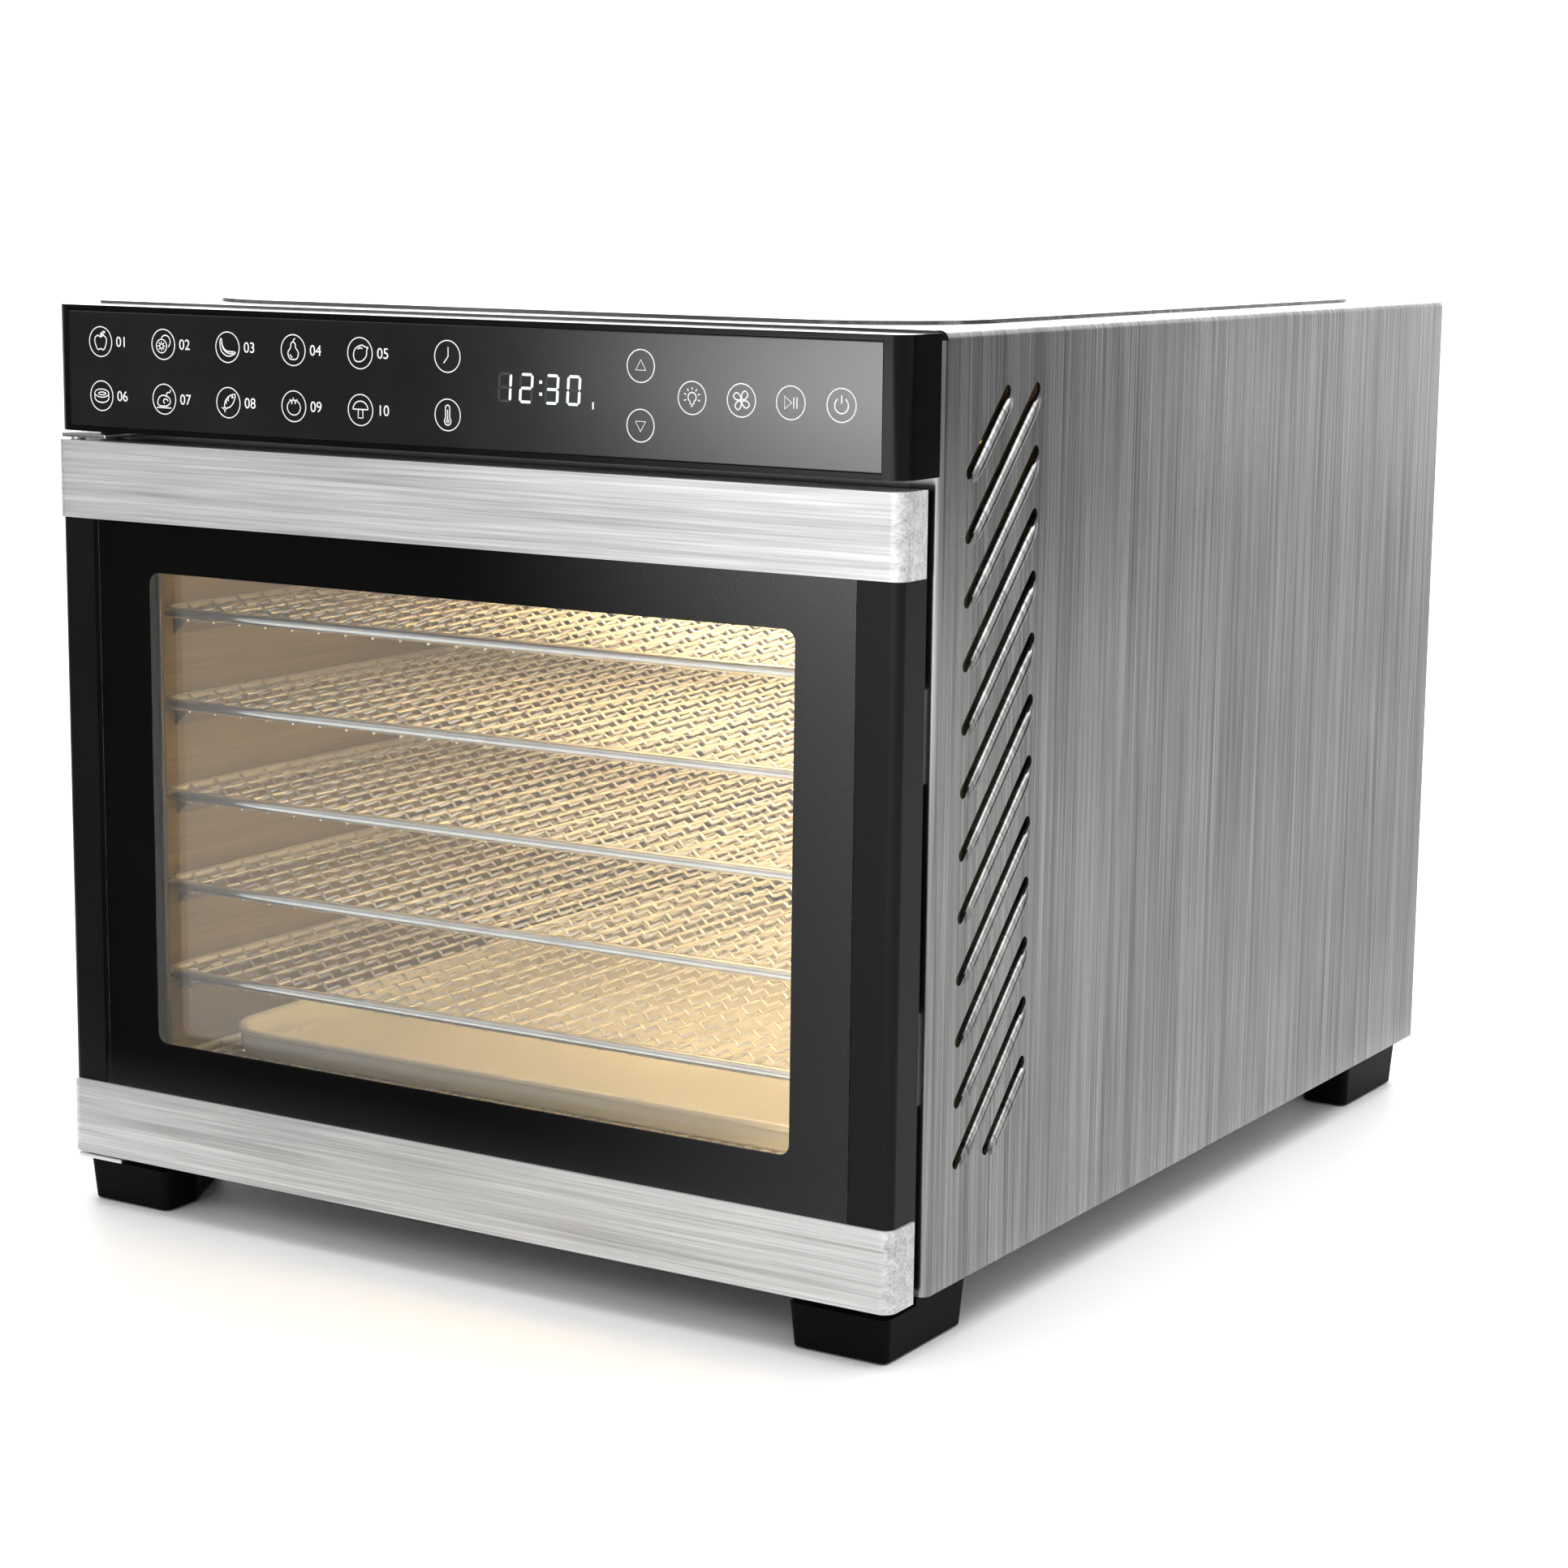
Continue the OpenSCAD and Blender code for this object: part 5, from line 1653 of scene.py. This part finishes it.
class DEHYDRATOR_OT_stage(bpy.types.Operator):
    """Set up the floor, the soft lights and the camera"""

    bl_idname = "dehydrator.stage"
    bl_label = "Stage"

    def execute(self, context):
        stage = context.scene.dehydrator_stage
        sweep_floor(stage.floor)
        front_card()
        gloss_boards()
        middle = (0.0, 0.0, 0.15)
        area_light("overhead_light", (0.1, 0.3, 2.4), (0.0, 0.1, 0.0), 3.0, 2.6, stage.overhead)
        area_light("right_light", (2.6, 0.5, 1.0), middle, 1.0, 1.8, stage.side)
        for x in (-3.2, 0.4):
            area_light(
                f"backdrop_light_{x:.0f}", (x, 1.7, 2.7), (x * 1.3, 4.4, 1.3), 4.5, 0.6, stage.backdrop * 0.7,
                seen=False
            )
        area_light("front_light", (-0.2, -2.8, 1.9), middle, 1.8, 1.0, stage.front)
        context.scene.world = studio_room(stage.sky)
        context.scene.view_settings.view_transform = "Standard"
        lens = bpy.data.cameras.new("Camera")
        place = (0.6776, -1.12, 0.3661)
        lens.lens = 79.12
        lens.sensor_width = 36.0
        lens.clip_start, lens.clip_end = 0.05, 60.0
        camera = bpy.data.objects.new("Camera", lens)
        heading, tilt, roll = math.radians(31.471), math.radians(-9.88), math.radians(0.662)
        aim = Matrix.Rotation(heading, 4, "Z") @ Matrix.Rotation(math.pi / 2 + tilt, 4, "X")
        camera.matrix_world = Matrix.Translation(place) @ (aim @ Matrix.Rotation(roll, 4, "Z"))
        context.scene.collection.objects.link(camera)
        context.scene.camera = camera
        return {"FINISHED"}


# ---- Panel in the sidebar ----


class DEHYDRATOR_PT_build(bpy.types.Panel):
    """Lists the steps that build the dehydrator"""

    bl_idname = "DEHYDRATOR_PT_build"
    bl_label = "Dehydrator"
    bl_space_type = "VIEW_3D"
    bl_region_type = "UI"
    bl_category = "Dehydrator"

    def draw(self, context):
        for label, name in GROUP_NAMES.items():
            box = self.layout.box()
            box.label(text=label)
            settings = getattr(context.scene, name)
            for key in settings.__annotations__:
                box.prop(settings, key)
        for step in STEPS:
            self.layout.operator(step.bl_idname)


GROUPS = {
    "dehydrator_metals": DehydratorMetals,
    "dehydrator_racks": DehydratorRacks,
    "dehydrator_panel": DehydratorPanel,
    "dehydrator_lamp": DehydratorLamp,
    "dehydrator_stage": DehydratorStage,
}
GROUP_NAMES = {
    "Metals": "dehydrator_metals",
    "Racks": "dehydrator_racks",
    "Touch panel": "dehydrator_panel",
    "Lamp": "dehydrator_lamp",
    "Stage": "dehydrator_stage",
}
STEPS = (
    DEHYDRATOR_OT_case,
    DEHYDRATOR_OT_screws,
    DEHYDRATOR_OT_feet,
    DEHYDRATOR_OT_door,
    DEHYDRATOR_OT_panel,
    DEHYDRATOR_OT_chamber,
    DEHYDRATOR_OT_air,
    DEHYDRATOR_OT_racks,
    DEHYDRATOR_OT_lamp,
    DEHYDRATOR_OT_stage,
)


def register():
    for group in (*GROUPS.values(), *STEPS, DEHYDRATOR_PT_build):
        bpy.utils.register_class(group)
    for name, group in GROUPS.items():
        setattr(bpy.types.Scene, name, PointerProperty(type=group))


def unregister():
    for name in GROUPS:
        delattr(bpy.types.Scene, name)
    for group in (DEHYDRATOR_PT_build, *reversed(STEPS), *GROUPS.values()):
        bpy.utils.unregister_class(group)


def main():
    register()
    for step in STEPS:
        family, name = step.bl_idname.split(".")
        if getattr(getattr(bpy.ops, family), name)() != {"FINISHED"}:
            raise RuntimeError(f"{step.bl_label} did not finish")
    bpy.context.view_layer.update()


if __name__ == "__main__":
    main()
